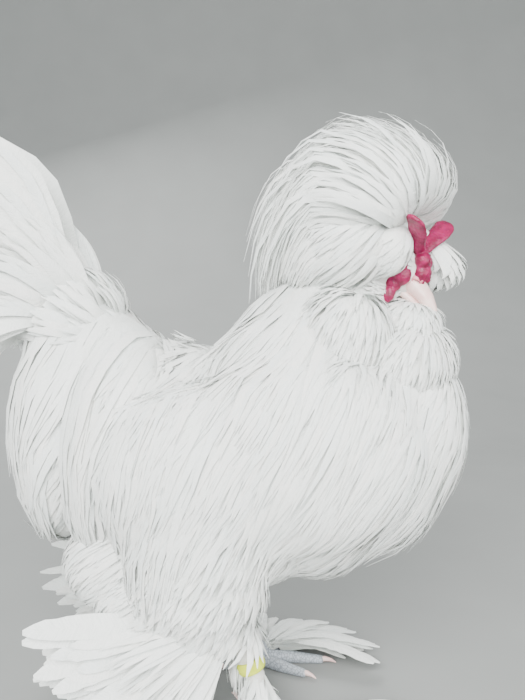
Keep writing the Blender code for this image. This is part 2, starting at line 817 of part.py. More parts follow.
def make_foot(word):
    """Foot with five toes, flat underneath, and long feathers on its outer toes."""
    side = SIDES[word]
    frame = Matrix.Translation(placed((5, 0, 0), side)) @ Matrix.Translation((0, side * 47 * MM, 0))
    foot = ball(f"foot_{word}", Vector((0, 0, 8)) * MM, Vector((11, 10, 9)) * MM, scales(), frame, 10, 5)
    toes = [
        loft(f"toe_{name}", rows, scales(), 6, 4, frame=frame, mirror=side)
        for name, rows in TOES.items()
    ]
    joined(foot, toes)
    claws = [make_claw(word, name, frame) for name in TOES]
    for claw in claws:
        cut_clear(claw, foot)
    pieces = []
    for k in range(4):
        t = k / 3
        turn = math.radians(20 + 112 * t)
        way = Vector((math.cos(turn), side * math.sin(turn), 0))
        root = placed((29 - 30 * t, 47 + 14 - 8 * t, 5 + 1.1 * (k % 2)), side)
        length = (66 - 16 * t + 5 * (k % 2)) * MM
        spine = [
            root + way * length * s + Vector((0, 0, (5 * math.sin(math.pi * s) - 3.2 * s) * MM))
            for s in (0, 0.3, 0.65, 1)
        ]
        pieces.append(
            free_blade(f"foot_feather_{k}", spine, 12 * MM, CONTOUR_SHAPE, plumage(), UP + way * 0.1)
        )
    joined(foot, pieces)
    for piece in (foot, *claws):
        flat_under(piece)
    return foot


def make_claw(word, name, frame):
    side = SIDES[word]
    rows = TOES[name]
    tip, before = Vector(rows[-1][:3]), Vector(rows[-2][:3])
    ahead = (tip - before).normalized()
    length = CLAW_LENGTH[name]
    start = tip - ahead * 2.5
    stations = []
    for t, radius in ((0, 2.1), (0.35, 1.9), (0.7, 1.3), (1, 0.5)):
        point = start + ahead * length * t + Vector((0, 0, 1.4 * math.sin(math.pi * t) - 1.2 * t))
        if name == "fifth":
            point.z += 2 * t
        point.z = max(point.z, radius + 0.3)
        stations.append((point.x, point.y, point.z, radius * 0.8, radius))
    return loft(f"claw_{name}_{word}", stations, horn(), 5, 3, frame=frame, mirror=side)


def flat_under(piece):
    """Cuts off whatever would reach below the floor."""
    size = 600 * MM
    mesh = bpy.data.meshes.new("floor_block")
    shell = bmesh.new()
    bmesh.ops.create_cube(shell, size=size, matrix=Matrix.Translation((0, 0, -size / 2)))
    shell.to_mesh(mesh)
    shell.free()
    block = bpy.data.objects.new("cutter_floor", mesh)
    cutters.objects.link(block)
    cut_clear(piece, block, gap=0)
    bpy.data.objects.remove(block)
    return piece


def make_leg_band(shank):
    """A plastic ring round the right shank."""
    inner, wall, height = 6 * MM, 3 * MM, 8 * MM
    middle = placed((-7.3, 47, 49), RIGHT)
    lean = Vector((-9, 0, 23)).to_track_quat("Z", "Y").to_matrix().to_4x4()
    mesh = bpy.data.meshes.new("leg_band")
    profile = bmesh.new()
    outer = inner + wall
    corners = [(inner, height / 2), (outer, height / 2), (outer, -height / 2), (inner, -height / 2)]
    points = [profile.verts.new((r, 0, z)) for r, z in corners]
    for k in range(4):
        profile.edges.new((points[k], points[(k + 1) % 4]))
    profile.to_mesh(mesh)
    profile.free()
    band = bpy.data.objects.new("leg_band", mesh)
    bird.objects.link(band)
    turned = band.modifiers.new("turn", "SCREW")
    turned.steps = turned.render_steps = 14
    turned.use_merge_vertices = True
    turned.merge_threshold = 0.01 * MM
    apply_modifiers(band)
    band.data.transform(Matrix.Translation(middle) @ lean)
    shell = bmesh.new()
    shell.from_mesh(band.data)
    bmesh.ops.recalc_face_normals(shell, faces=shell.faces)
    shell.to_mesh(band.data)
    shell.free()
    band.data.materials.append(finish("yellow_plastic", (0.72, 0.8, 0.05), 0.35))
    return cut_clear(band, shank)


def stand_at_origin():
    """Moves every node so that the middle of the bird's underside is at the origin."""
    points = np.array([v.co for piece in bird.objects for v in piece.data.vertices])
    low, high = points.min(0), points.max(0)
    shift = Vector((-(low[0] + high[0]) / 2, -(low[1] + high[1]) / 2, -low[2]))
    for piece in bird.objects:
        piece.data.transform(Matrix.Translation(shift))
    print("shift to the origin, in millimetres:", [round(s / MM, 3) for s in shift])


def main():
    clear_scene()
    torso = loft("torso", TORSO, plumage(), 20, 12, axis=FORWARD)
    neck = loft("neck", NECK, plumage(), 16, 6)
    wings = {w: loft(f"wing_{w}", WING, plumage(), 10, 8, axis=FORWARD, mirror=s) for w, s in SIDES.items()}
    thighs = {w: make_thigh(w) for w in SIDES}
    ground = Ground(torso, neck, *wings.values(), *thighs.values())
    cut_clear(neck, torso)
    for word in SIDES:
        cut_clear(thighs[word], torso)
    cut_clear(torso, *wings.values())
    tail = make_tail([torso])
    eyes = [make_eye(word) for word in SIDES]
    head = make_head(eyes)
    beak_upper, beak_lower = make_beak(head)
    comb = make_comb(head, beak_upper)
    wattles = [make_wattle(word) for word in SIDES]
    for wattle in wattles:
        cut_clear(wattle, head, beak_upper, beak_lower)
    cut_clear(neck, head, beak_lower, *wattles)
    face = [head, beak_upper, beak_lower, comb, *wattles, *eyes]
    beard = make_beard([*face, torso])
    crest = make_crest([*face, neck, beard])
    for word in SIDES:
        make_wing(word, wings[word], ground)
    make_saddle_hackle(torso, ground)
    make_neck_hackle(neck, ground)
    for word in SIDES:
        cut_clear(wings[word], torso, gap=GAP / 3)
        cut_clear(wings[word], torso, gap=0)
        cut_clear(thighs[word], wings[word])
        cut_clear(thighs[word], wings[word], gap=0)
    cut_clear(neck, torso, *wings.values(), gap=GAP / 3)
    cut_clear(tail, torso)
    cut_clear(tail, torso, gap=0)
    cut_clear(crest, neck, gap=GAP / 3)
    cut_clear(crest, neck, gap=0)
    cut_clear(beard, neck)
    cut_clear(beard, neck, gap=0)
    for word, side in SIDES.items():
        hock = make_hock(word, [thighs[word]])
        foot = make_foot(word)
        shank = make_shank(word, [hock, foot])
        if side == RIGHT:
            make_leg_band(shank)
    stand_at_origin()


bird = bpy.data.collections.new("sultan_cock")
bpy.context.scene.collection.children.link(bird)
cutters = bpy.data.collections.new("cutters")
cutters.hide_render = True
bpy.context.scene.collection.children.link(cutters)
main()
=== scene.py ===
"""A white sultan cock standing with its head turned to its right, dressed feather by feather.

It faces +X and stands on the floor at Z = 0. Lengths are in metres, and sizes given in millimetres
are multiplied by MM.
"""

import math

import bmesh
import bpy
import numpy as np
from mathutils import Matrix, Vector
from mathutils.bvhtree import BVHTree


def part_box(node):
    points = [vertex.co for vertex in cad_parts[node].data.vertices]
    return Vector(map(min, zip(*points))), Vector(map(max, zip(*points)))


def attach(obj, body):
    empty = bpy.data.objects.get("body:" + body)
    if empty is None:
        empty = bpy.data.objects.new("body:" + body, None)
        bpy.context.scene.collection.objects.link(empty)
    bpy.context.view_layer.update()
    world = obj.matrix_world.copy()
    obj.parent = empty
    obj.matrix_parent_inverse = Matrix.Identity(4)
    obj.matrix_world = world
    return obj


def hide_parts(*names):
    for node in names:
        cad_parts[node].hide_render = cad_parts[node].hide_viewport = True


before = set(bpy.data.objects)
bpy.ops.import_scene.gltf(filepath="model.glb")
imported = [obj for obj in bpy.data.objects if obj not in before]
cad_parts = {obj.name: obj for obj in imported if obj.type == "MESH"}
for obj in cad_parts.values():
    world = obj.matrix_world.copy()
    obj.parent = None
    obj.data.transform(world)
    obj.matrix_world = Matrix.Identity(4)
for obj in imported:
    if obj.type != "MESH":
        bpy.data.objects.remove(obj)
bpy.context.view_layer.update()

# The stand: a pale studio floor that curves up behind the bird, soft lamps, and the camera, low and
# close on the bird's right, looking across its side. The bird's own measures are taken from a point
# under its breast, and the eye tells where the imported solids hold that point.
MM = 0.001
SKULL = Vector((80, -15, 289)) * MM
TURNED = Matrix.Translation(SKULL) @ Matrix.Rotation(math.radians(-35), 4, "Z")
HEAD = TURNED @ Matrix.Rotation(math.radians(28), 4, "Y")
EYE = Vector((4.5, -12.6, 3.5)) * MM
eye_low, eye_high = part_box("eye_right")
STAND = Matrix.Translation((eye_low + eye_high) / 2 - HEAD @ EYE)
SIDES = {"left": 1, "right": -1}

camera = bpy.data.objects.new("camera", bpy.data.cameras.new("camera"))
bpy.context.collection.objects.link(camera)
camera.location = STAND @ Vector((0, -0.471, 0.275))
camera.rotation_euler = (math.radians(85), 0, 0)
camera.data.lens = 37.85
camera.data.sensor_width = 36
camera.data.clip_start = 0.02
bpy.context.scene.camera = camera

bpy.ops.object.select_all(action="DESELECT")
bpy.ops.mesh.primitive_plane_add(size=14, location=(0, -5.1, 0))
floor = bpy.context.object
floor.name = "studio_floor"
bpy.ops.object.mode_set(mode="EDIT")
shell = bmesh.from_edit_mesh(floor.data)
for part in (*shell.verts, *shell.edges, *shell.faces):
    part.select = False
for edge in shell.edges:
    edge.select = all(v.co.y > 1 for v in edge.verts)
bmesh.update_edit_mesh(floor.data)
bpy.ops.mesh.extrude_region_move(TRANSFORM_OT_translate={"value": (0, 0, 3)})
bpy.ops.object.mode_set(mode="OBJECT")
bend = floor.modifiers.new("sweep", "BEVEL")
bend.width = 1.2
bend.segments = 16
bend.limit_method = "ANGLE"
bpy.ops.object.modifier_apply(modifier="sweep")
bpy.ops.object.transform_apply(location=True, rotation=True, scale=True)
bpy.ops.object.shade_smooth()


def graded(tree, value, low, high):
    """The colour that goes with a value. low and high are each a place on the ramp and a colour."""
    ramp = tree.nodes.new("ShaderNodeValToRGB")
    for stop, (place, colour) in zip(ramp.color_ramp.elements, (low, high)):
        stop.position = place
        stop.color = (*colour, 1)
    tree.links.new(value, ramp.inputs["Fac"])
    return ramp.outputs["Color"]


def grained(name, scale, low, high, roughness, depth=0, detail=2, cells=False):
    """A material whose colour follows a fine grain, or plates with darker edges where cells is set.

    With a depth, in millimetres, the surface rises and falls with the grain too.
    """
    made = bpy.data.materials.new(name)
    made.use_nodes = True
    nodes, links = made.node_tree.nodes, made.node_tree.links
    shader = nodes["Principled BSDF"]
    where = nodes.new("ShaderNodeTexCoord")
    if cells:
        grain = nodes.new("ShaderNodeTexVoronoi")
        grain.feature = "DISTANCE_TO_EDGE"
        value = grain.outputs["Distance"]
    else:
        grain = nodes.new("ShaderNodeTexNoise")
        grain.inputs["Detail"].default_value = detail
        value = grain.outputs["Fac"]
    grain.inputs["Scale"].default_value = scale
    links.new(where.outputs["Object"], grain.inputs["Vector"])
    colour = graded(made.node_tree, value, low, high)
    links.new(colour, shader.inputs["Base Color"])
    shader.inputs["Roughness"].default_value = roughness
    if depth:
        relief = nodes.new("ShaderNodeBump")
        relief.inputs["Distance"].default_value = depth * MM
        links.new(colour if cells else value, relief.inputs["Height"])
        links.new(relief.outputs["Normal"], shader.inputs["Normal"])
    return made


paper = grained("pale_paper", 9, (0, (0.27, 0.28, 0.27)), (1, (0.31, 0.32, 0.31)), 0.9)
floor.data.materials.append(paper)

for label, place, aim, size, power in (
    ("key", (-0.2, -1.5, 1.0), (0.05, 0, 0.22), 1.4, 78),
    ("fill", (1.3, -1.0, 0.6), (0.05, 0, 0.2), 1.2, 22),
    ("rim", (-0.5, 1.3, 1.3), (0, 0, 0.25), 1.0, 28),
):
    lamp = bpy.data.objects.new(label, bpy.data.lights.new(label, "AREA"))
    bpy.context.collection.objects.link(lamp)
    lamp.location = place
    lamp.rotation_euler = (Vector(aim) - Vector(place)).to_track_quat("-Z", "Y").to_euler()
    lamp.data.shape = "DISK"
    lamp.data.size = size
    lamp.data.energy = power
    lamp.visible_camera = False
room = bpy.context.scene.world or bpy.data.worlds.new("room")
bpy.context.scene.world = room
room.use_nodes = True
room.node_tree.nodes["Background"].inputs["Color"].default_value = (0.74, 0.78, 0.8, 1)
room.node_tree.nodes["Background"].inputs["Strength"].default_value = 0.9

# The skin: one body from skull to ankle, pale under the feathers. It is built up from rounded
# masses of flesh, run together and smoothed, and lies inside the plumage by the depth of the coat.
FLESH = [
    # middle x, y, z and half sizes along x, y, z, all in millimetres
    ((-147, 0, 277), (12, 11, 12)),
    ((-137, 0, 266), (18, 18, 19)),
    ((-120, 0, 248), (26, 25, 27)),
    ((-104, 0, 232), (32, 34, 32)),
    ((-122, 0, 184), (31, 47, 66)),
    ((-86, 0, 175), (42, 59, 76)),
    ((-45, 0, 163), (44, 64, 68)),
    ((-5, 0, 160), (46, 68, 70)),
    ((35, 0, 165), (46, 68, 70)),
    ((70, 0, 175), (41, 61, 65)),
    ((94, 0, 188), (29, 48, 50)),
    ((22, 53, 178), (66, 22, 50)),
    ((-32, 52, 166), (62, 21, 44)),
    ((22, -53, 178), (66, 22, 50)),
    ((-32, -52, 166), (62, 21, 44)),
    ((18, 25, 210), (44, 32, 42)),
    ((18, -25, 210), (44, 32, 42)),
    ((22, 0, 206), (47, 46, 52)),
    ((31, -3, 230), (40, 38, 44)),
    ((45, -6, 254), (32, 30, 35)),
    ((58, -10, 274), (24, 22, 27)),
    ((68, -13, 287), (18, 17, 18)),
]
HEAD_FLESH = [
    ((0, 0, 0), (22.4, 14.8, 16.4)),
    ((9, 0, -8), (12.4, 9.8, 8.4)),
    ((13, 0, 0), (10, 8, 9)),
]
LEG_FLESH = [
    ((-36, 36, 138), (36, 26, 36)),
    ((-38, 42, 118), (38, 29, 30)),
    ((-39, 46, 98), (35, 23, 25)),
    ((-35, 47, 82), (25, 15, 16)),
    ((-27, 47, 71), (15, 9, 12)),
    ((-17, 47, 66), (8, 7, 12)),
    ((-10, 47, 52), (7, 6.5, 12)),
    ((-4, 47, 38), (6.5, 6.2, 12)),
    ((2, 47, 22), (6.5, 6.4, 12)),
]
LEFT_LEG_BACK = 12


def lump(place, radii, frame_of=STAND):
    """One rounded mass of flesh."""
    bpy.ops.mesh.primitive_uv_sphere_add(segments=20, ring_count=12, radius=1)
    made = bpy.context.object
    made.matrix_world = (
        frame_of @ Matrix.Translation(Vector(place) * MM) @ Matrix.Diagonal((*(Vector(radii) * MM), 1))
    )
    bpy.ops.object.transform_apply(location=True, rotation=True, scale=True)
    return made


def finished(piece, *kinds):
    """Applies the modifiers of these kinds, made with their settings, to a piece."""
    bpy.ops.object.select_all(action="DESELECT")
    piece.select_set(True)
    bpy.context.view_layer.objects.active = piece
    for kind, settings in kinds:
        made = piece.modifiers.new(kind, kind)
        for name, value in settings.items():
            setattr(made, name, value)
        bpy.ops.object.modifier_apply(modifier=made.name)
    return piece


def run_together(name, lumps, voxel, rounds):
    """Joins lumps into one smooth closed body."""
    bpy.ops.object.select_all(action="DESELECT")
    for one in lumps:
        one.select_set(True)
    bpy.context.view_layer.objects.active = lumps[0]
    bpy.ops.object.join()
    made = bpy.context.object
    made.name = made.data.name = name
    finished(
        made,
        ("REMESH", {"mode": "VOXEL", "voxel_size": voxel}),
        ("SMOOTH", {"factor": 0.5, "iterations": rounds}),
    )
    bpy.ops.object.shade_smooth()
    return made


masses = [lump(*flesh) for flesh in FLESH]
masses += [lump(*flesh, STAND @ HEAD) for flesh in HEAD_FLESH]
for side in SIDES.values():
    back = LEFT_LEG_BACK if side == 1 else 0
    masses += [lump((x - back, side * y, z), radii) for (x, y, z), radii in LEG_FLESH]
skin = run_together("skin", masses, 2.6 * MM, 9)

pores = grained("pale_skin", 160, (0.35, (0.66, 0.64, 0.6)), (0.65, (0.78, 0.78, 0.75)), 0.9, depth=0.4)
skin.data.materials.append(pores)
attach(skin, "root")
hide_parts("torso", "neck", "head", "thigh_left", "thigh_right", "shank_left", "shank_right")

# The body coat: small soft contour feathers that lie over each other like tiles, back along the top,
# down the breast and sides, and loose and fluffy on the belly and thighs. Each feather is its own
# thin vane, rooted in the skin.
ground_mesh = skin.data
ground_points = np.empty(len(ground_mesh.vertices) * 3)
ground_mesh.vertices.foreach_get("co", ground_points)
ground_points = ground_points.reshape(-1, 3)
ground_mesh.calc_loop_triangles()
ground_faces = np.empty(len(ground_mesh.loop_triangles) * 3, np.int32)
ground_mesh.loop_triangles.foreach_get("vertices", ground_faces)
ground_faces = ground_faces.reshape(-1, 3)
ground_normals = np.empty(len(ground_mesh.vertices) * 3)
ground_mesh.vertices.foreach_get("normal", ground_normals)
ground_normals = ground_normals.reshape(-1, 3)
ground = BVHTree.FromPolygons(ground_points.tolist(), ground_faces.tolist())
ORIGIN = np.array(STAND.translation)


def unit(v):
    """Vectors made one long."""
    return v / np.maximum(np.linalg.norm(v, axis=-1, keepdims=True), 1e-9)


def own(points):
    """Places in millimetres from the bird's own starting point."""
    return (points - ORIGIN) / MM


def nearest(points):
    """Foot on the skin and its outward normal for each point."""
    feet = np.empty_like(points)
    normals = np.empty_like(points)
    for i, point in enumerate(points):
        foot, _, face, _ = ground.find_nearest(Vector(point))
        feet[i] = foot
        normals[i] = ground_normals[ground_faces[face]].mean(axis=0)
    return feet, unit(normals)


def roots_on_skin(spacing, keep, seed):
    """Places on the skin about spacing apart, where keep says so, with their normals."""
    draws = np.random.default_rng(seed)
    a, b, c = (ground_points[ground_faces[:, k]] for k in range(3))
    areas = np.linalg.norm(np.cross(b - a, c - a), axis=1) / 2
    count = int(areas.sum() / spacing**2 * 6)
    picks = draws.choice(len(areas), count, p=areas / areas.sum())
    u, v = draws.random((2, count, 1))
    over = (u + v) > 1
    u, v = np.where(over, 1 - u, u), np.where(over, 1 - v, v)
    points = a[picks] + (b[picks] - a[picks]) * u + (c[picks] - a[picks]) * v
    normals = unit(ground_normals[ground_faces[picks]].mean(axis=1))
    chosen = keep(own(points), normals)
    points, normals = points[chosen], normals[chosen]
    _, first = np.unique(np.floor(points / spacing).astype(np.int64), axis=0, return_index=True)
    first = np.sort(first)
    return points[first], normals[first]


def clumped(points, size, strength, seed):
    """A gentle push to one side that neighbours share, so that feathers gather in locks."""
    draws = np.random.default_rng(seed)
    total = np.zeros_like(points)
    for _ in range(5):
        wave = unit(draws.normal(size=(1, 3))) * 2 * math.pi / size
        push = unit(draws.normal(size=(1, 3)))
        total += np.sin((points @ wave.T) + draws.uniform(0, 6.28)) * push
    return total * strength / 5


def swept(roots, lie, lengths, heights, rings, seed, stray=0.12):
    """Spines that follow the skin the way the coat lies. Heights are rows of millimetres over it."""
    draws = np.random.default_rng(seed)
    wander = draws.normal(0, stray, roots.shape)
    lifts = draws.uniform(0.88, 1.12, (len(roots), 1))
    spots, ups = [], []
    point = roots
    for j in range(rings):
        t = j / (rings - 1)
        feet, normals = nearest(point)
        high = np.interp(t, np.linspace(0, 1, len(heights)), heights) * MM
        spot = feet + normals * high * lifts
        spots.append(spot)
        ups.append(normals)
        flow = unit(lie(own(spot), normals)) + wander + clumped(own(spot), 34, 0.36, 3)
        flow = unit(flow - (flow * normals).sum(1, keepdims=True) * normals)
        point = spot + flow * lengths[:, None] / (rings - 1)
    return np.stack(spots, 1), np.stack(ups, 1)


# the side of a feather's own patch on the unwrap, and half widths along a short oval feather
PATCH = 0.003
OVAL = (0.5, 0.9, 1, 0.9, 0.6, 0.1)


def feathers(name, spines, ups, half_widths, depth, unwrap, material, seed, shape=OVAL, ragged=0.0):
    """Many closed thin vanes as one mesh: two sloping upper faces that meet in a ridge, flat below.

    Spines and ups are (feathers, rings, 3). Each vane has a patch of the OFBake map at its root's
    place on the unwrap, and notes of its tint and of how far along it each point is.
    """
    count, rings, _ = spines.shape
    draws = np.random.default_rng(seed)
    ahead = unit(np.gradient(spines, axis=1))
    side = unit(np.cross(ahead, ups))
    up = np.cross(side, ahead)
    along = np.linspace(0, 1, rings)
    share = np.interp(along, np.linspace(0, 1, len(shape)), shape)[None, :, None]
    wide = side * half_widths[:, None, None] * share
    notches = 1 - ragged * draws.random((2, count, rings, 1)) ** 2
    high = up * depth * (0.35 + 0.65 * share)
    lines = [spines - wide * notches[0], spines + high, spines + wide * notches[1]]
    points = np.stack(lines, axis=2).reshape(-1, 3)
    first = (np.arange(count) * rings * 3)[:, None]
    start = first[:, :, None] + (np.arange(rings - 1) * 3)[None, :, None]
    quads = np.stack(
        [
            start + np.array([0, 1, 4, 3]),
            start + np.array([1, 2, 5, 4]),
            start + np.array([2, 0, 3, 5]),
        ],
        axis=2,
    ).reshape(-1, 4)
    last = first + (rings - 1) * 3
    ends = np.concatenate([first + np.array([0, 2, 1]), last + np.array([0, 1, 2])])
    corners = np.concatenate([quads.ravel(), ends.ravel()])
    starts = np.concatenate([np.arange(len(quads)) * 4, len(quads) * 4 + np.arange(len(ends)) * 3])
    mesh = bpy.data.meshes.new(name)
    mesh.vertices.add(len(points))
    mesh.vertices.foreach_set("co", points.astype(np.float32).ravel())
    mesh.loops.add(len(corners))
    mesh.loops.foreach_set("vertex_index", corners.astype(np.int32))
    mesh.polygons.add(len(starts))
    mesh.polygons.foreach_set("loop_start", starts.astype(np.int32))
    mesh.polygons.foreach_set("use_smooth", np.ones(len(starts), bool))
    mesh.update(calc_edges=True)
    edges = np.empty(len(mesh.edges) * 2, np.int32)
    mesh.edges.foreach_get("vertices", edges)
    edges = edges.reshape(-1, 2)
    (ring, other_ring), (line, other_line) = (edges // 3 % rings).T, (edges % 3).T
    at_end = (ring == other_ring) & ((ring == 0) | (ring == rings - 1))
    sharp = at_end | ((line == other_line) & (line != 1))
    mesh.attributes.new("sharp_edge", "BOOLEAN", "EDGE").data.foreach_set("value", sharp)
    across = np.tile(np.array([-0.5, 0, 0.5]), count * rings)
    length = np.tile(np.repeat(along, 3), count)
    root = np.repeat(unwrap(own(spines[:, 0])), rings * 3, axis=0)
    patch = np.clip(root + np.stack([across, length - 0.5], axis=1) * PATCH, 0, 1)
    bake = mesh.uv_layers.new(name="OFBake")
    bake.data.foreach_set("uv", patch[corners].astype(np.float32).ravel())
    vane = mesh.uv_layers.new(name="vane")
    run = np.linalg.norm(np.diff(spines, axis=1), axis=2).sum(1)
    flat = np.stack([across * 2, length * np.repeat(run, rings * 3) / MM / 10], axis=1)
    vane.data.foreach_set("uv", flat[corners].astype(np.float32).ravel())
    notes = {"along": length, "tint": np.repeat(draws.random(count), rings * 3)}
    for label, values in notes.items():
        mesh.attributes.new(label, "FLOAT", "POINT").data.foreach_set("value", values.astype(np.float32))
    mesh.materials.append(material)
    made = bpy.data.objects.new(name, mesh)
    bpy.context.collection.objects.link(made)
    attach(made, "root")
    return made


def plumage_finish(name, barb_scale, barb_depth):
    """White feather: darker and cooler towards the root as painted shade, a slight tint of its own, and fine
    barbs.
    """
    made = bpy.data.materials.new(name)
    made.use_nodes = True
    tree = made.node_tree
    nodes, links = tree.nodes, tree.links
    shader = nodes["Principled BSDF"]

    def note(label):
        node = nodes.new("ShaderNodeAttribute")
        node.attribute_name = label
        return node.outputs["Fac"]

    def sum_of(operation, *terms):
        node = nodes.new("ShaderNodeMath")
        node.operation = operation
        for socket, term in zip(node.inputs, terms):
            if isinstance(term, (int, float)):
                socket.default_value = term
            else:
                links.new(term, socket)
        return node.outputs[0]

    def shaded(colour, shade):
        node = nodes.new("ShaderNodeMix")
        node.data_type = "RGBA"
        node.blend_type = "MULTIPLY"
        node.inputs[0].default_value = 1
        links.new(colour, node.inputs[6])
        links.new(shade, node.inputs[7])
        return node.outputs[2]

    tint = note("tint")
    # painted shade: each feather is darker and cooler towards its root, where the feathers lying over it
    # would shade it
    white = graded(tree, note("along"), (0, (0.84, 0.86, 0.84)), (0.55, (0.94, 0.95, 0.935)))
    white = shaded(white, graded(tree, tint, (0, (0.93, 0.96, 0.95)), (1, (1, 0.99, 0.965))))
    map_of = nodes.new("ShaderNodeUVMap")
    map_of.uv_map = "vane"
    split = nodes.new("ShaderNodeSeparateXYZ")
    links.new(map_of.outputs["UV"], split.inputs["Vector"])
    slope = sum_of("MULTIPLY_ADD", sum_of("ABSOLUTE", split.outputs["X"]), -0.35, split.outputs["Y"])
    barb_space = nodes.new("ShaderNodeCombineXYZ")
    links.new(sum_of("MULTIPLY", slope, barb_scale), barb_space.inputs["X"])
    links.new(split.outputs["X"], barb_space.inputs["Y"])
    links.new(sum_of("MULTIPLY", tint, 60), barb_space.inputs["Z"])
    barbs = nodes.new("ShaderNodeTexNoise")
    barbs.inputs["Scale"].default_value = 1
    barbs.inputs["Detail"].default_value = 3
    links.new(barb_space.outputs["Vector"], barbs.inputs["Vector"])
    streaks = graded(tree, barbs.outputs["Fac"], (0.3, (0.88, 0.9, 0.89)), (0.6, (1, 1, 1)))
    links.new(shaded(white, streaks), shader.inputs["Base Color"])
    relief = nodes.new("ShaderNodeBump")
    relief.inputs["Strength"].default_value = 0.6
    relief.inputs["Distance"].default_value = barb_depth * MM
    links.new(barbs.outputs["Fac"], relief.inputs["Height"])
    links.new(relief.outputs["Normal"], shader.inputs["Normal"])
    shader.inputs["Roughness"].default_value = 0.62
    shader.inputs["Sheen Weight"].default_value = 0.25
    shader.inputs["Sheen Roughness"].default_value = 0.4
    shader.inputs["Specular IOR Level"].default_value = 0.3
    return made


soft_white = plumage_finish("soft_white_feather", 16, 0.5)


def round_trunk(points):
    """Unwrap of the trunk: round its long axis, and along it."""
    u = (np.arctan2(points[:, 1], points[:, 2] - 160) + math.pi) / (2 * math.pi)
    return np.stack([u, np.clip((points[:, 0] + 160) / 320, 0, 1)], axis=1)


def body_lie(points, normals):
    """Back along the top, down the sides and breast, and back again under the belly."""
    x, y, z = points.T
    rump = np.clip((-60 - x) / 60, 0, 1)
    low = np.clip((120 - z) / 50, 0, 1)
    return np.stack([-0.62 - 0.5 * low, 0.12 * np.sign(y) * (1 - low), -1 + 0.35 * low - 0.3 * rump], axis=1)


def is_trunk(points):
    x, y, z = points.T
    thigh = (z < 122) & (np.abs(y) > 18) & (x > -84) & (x < 4)
    return (z > 84) & (z < 262 - 0.25 * np.abs(x - 20)) & ~thigh


def on_breast(points, normals):
    return is_trunk(points) & (points[:, 0] > 20)


def on_sides(points, normals):
    return is_trunk(points) & (points[:, 0] <= 20) & (points[:, 0] > -62)


def on_rump(points, normals):
    return is_trunk(points) & (points[:, 0] <= -62)


def lay_coat(name, keep, lie, spacing, length, half_width, rise, seed, **more):
    """A layer of feathers over a stretch of skin."""
    draws = np.random.default_rng(seed)
    roots, normals = roots_on_skin(spacing * MM, keep, seed)
    rings = more.pop("rings", 4)
    stray = more.pop("stray", 0.08)
    lengths = length * draws.uniform(0.8, 1.2, len(roots)) * MM
    spines, ups = swept(roots - normals * MM, lie, lengths, rise, rings, seed, stray)
    widths = half_width * draws.uniform(0.8, 1.2, len(roots)) * MM
    settings = {"depth": 0.3 * MM, "unwrap": round_trunk, "material": soft_white, **more}
    return feathers(name, spines, ups, widths, seed=seed, **settings)


for name, keep, seed in (("breast", on_breast, 51), ("sides", on_sides, 52), ("rump", on_rump, 53)):
    lay_coat(f"coat_{name}_under", keep, body_lie, 5.4, 28, 4.9, (0, 2.5, 4, 5), seed)
    lay_coat(f"coat_{name}_top", keep, body_lie, 4.2, 37, 2.5, (0, 4.5, 7, 8), seed + 40, rings=5)

# The folded wings: flight feathers stacked under each other along the flank, rooted in the skin.
# They lie low and mostly out of sight, because the hackle and the saddle fall over them.
FLIGHTS = 16
FLIGHT_LENGTH, FLIGHT_HALF_WIDTH = 76 * MM, 8.5 * MM
FLIGHT_SHAPE = (0.3, 0.7, 0.9, 1, 1, 0.98, 0.9, 0.7, 0.08)


def wing_lie(points, normals):
    return np.tile((-1.0, 0, -0.34), (len(points), 1))


for word, side in SIDES.items():
    t = np.linspace(0, 1, FLIGHTS)
    back, low = np.interp(t, (0, 1), (-40, 24)), np.interp(t, (0, 1), (186, 150))
    roots, _ = nearest(np.stack([back, np.full(FLIGHTS, side * 92.0), low], axis=1) * MM + ORIGIN)
    lengths, widths = np.full(FLIGHTS, FLIGHT_LENGTH), np.full(FLIGHTS, FLIGHT_HALF_WIDTH)
    spines, ups = swept(roots, wing_lie, lengths, (0, 5, 7, 7.5), 12, 8, 0.03)
    piece = feathers(
        f"wing_flights_{word}", spines, ups, widths, 0.8 * MM, round_trunk, soft_white, 9,
        shape=FLIGHT_SHAPE, ragged=0.08,
    )
    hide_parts(f"wing_{word}")

# The hackle: a cape of long narrow feathers that run to a point. They grow on the neck, from under
# the crest down, and fall over the breast, the shoulders and the back.
def neck_lie(points, normals):
    steady = np.ones(len(points))
    return np.stack([-0.5 * steady, 0.22 * normals[:, 1], -steady], axis=1)


def on_neck(points, normals):
    from_skull = np.linalg.norm(points - np.array([80, -15, 289]), axis=1)
    return (points[:, 2] > 198) & (points[:, 0] > -26) & (from_skull > 27)


# half widths along a long feather that runs to a point
POINTED = (0.5, 0.85, 1, 0.9, 0.7, 0.4, 0.06)
CAPE = {"shape": POINTED, "stray": 0.06}
lay_coat("hackle_under", on_neck, neck_lie, 5.2, 60, 4.5, (0, 4, 6, 8), 71, rings=6, shape=POINTED)
lay_coat("hackle_top", on_neck, neck_lie, 4.6, 104, 3.1, (0, 6, 9, 11), 72, rings=7, **CAPE)

# The saddle: the same long pointed feathers on the back and rump, where they hang far down over the
# sides on both sides of the tail.
def saddle_lie(points, normals):
    y = points[:, 1]
    out = np.clip(np.abs(y) / 40, 0, 1)
    return np.stack([-0.75 + 0.32 * out, 0.6 * np.sign(y), -out - 0.05], axis=1)


def on_saddle(points, normals):
    x = points[:, 0]
    return (x < 2) & (x > -122) & (normals[:, 2] > 0.3) & (points[:, 2] > 205)


lay_coat("saddle_under", on_saddle, saddle_lie, 4.8, 88, 4.2, (0, 4, 6, 7), 81, rings=6, shape=POINTED)
lay_coat("saddle_top", on_saddle, saddle_lie, 5, 128, 3.1, (0, 6, 10, 12), 82, rings=8, **CAPE)

# The thighs: loose downy feathers that hang over the legs down to the hocks. Over the leg ring they
# stop short, so that it stays in view.
def thigh_lie(points, normals):
    steady = np.ones(len(points))
    return np.stack([-0.55 * steady, 0.2 * np.sign(points[:, 1]), -steady], axis=1)


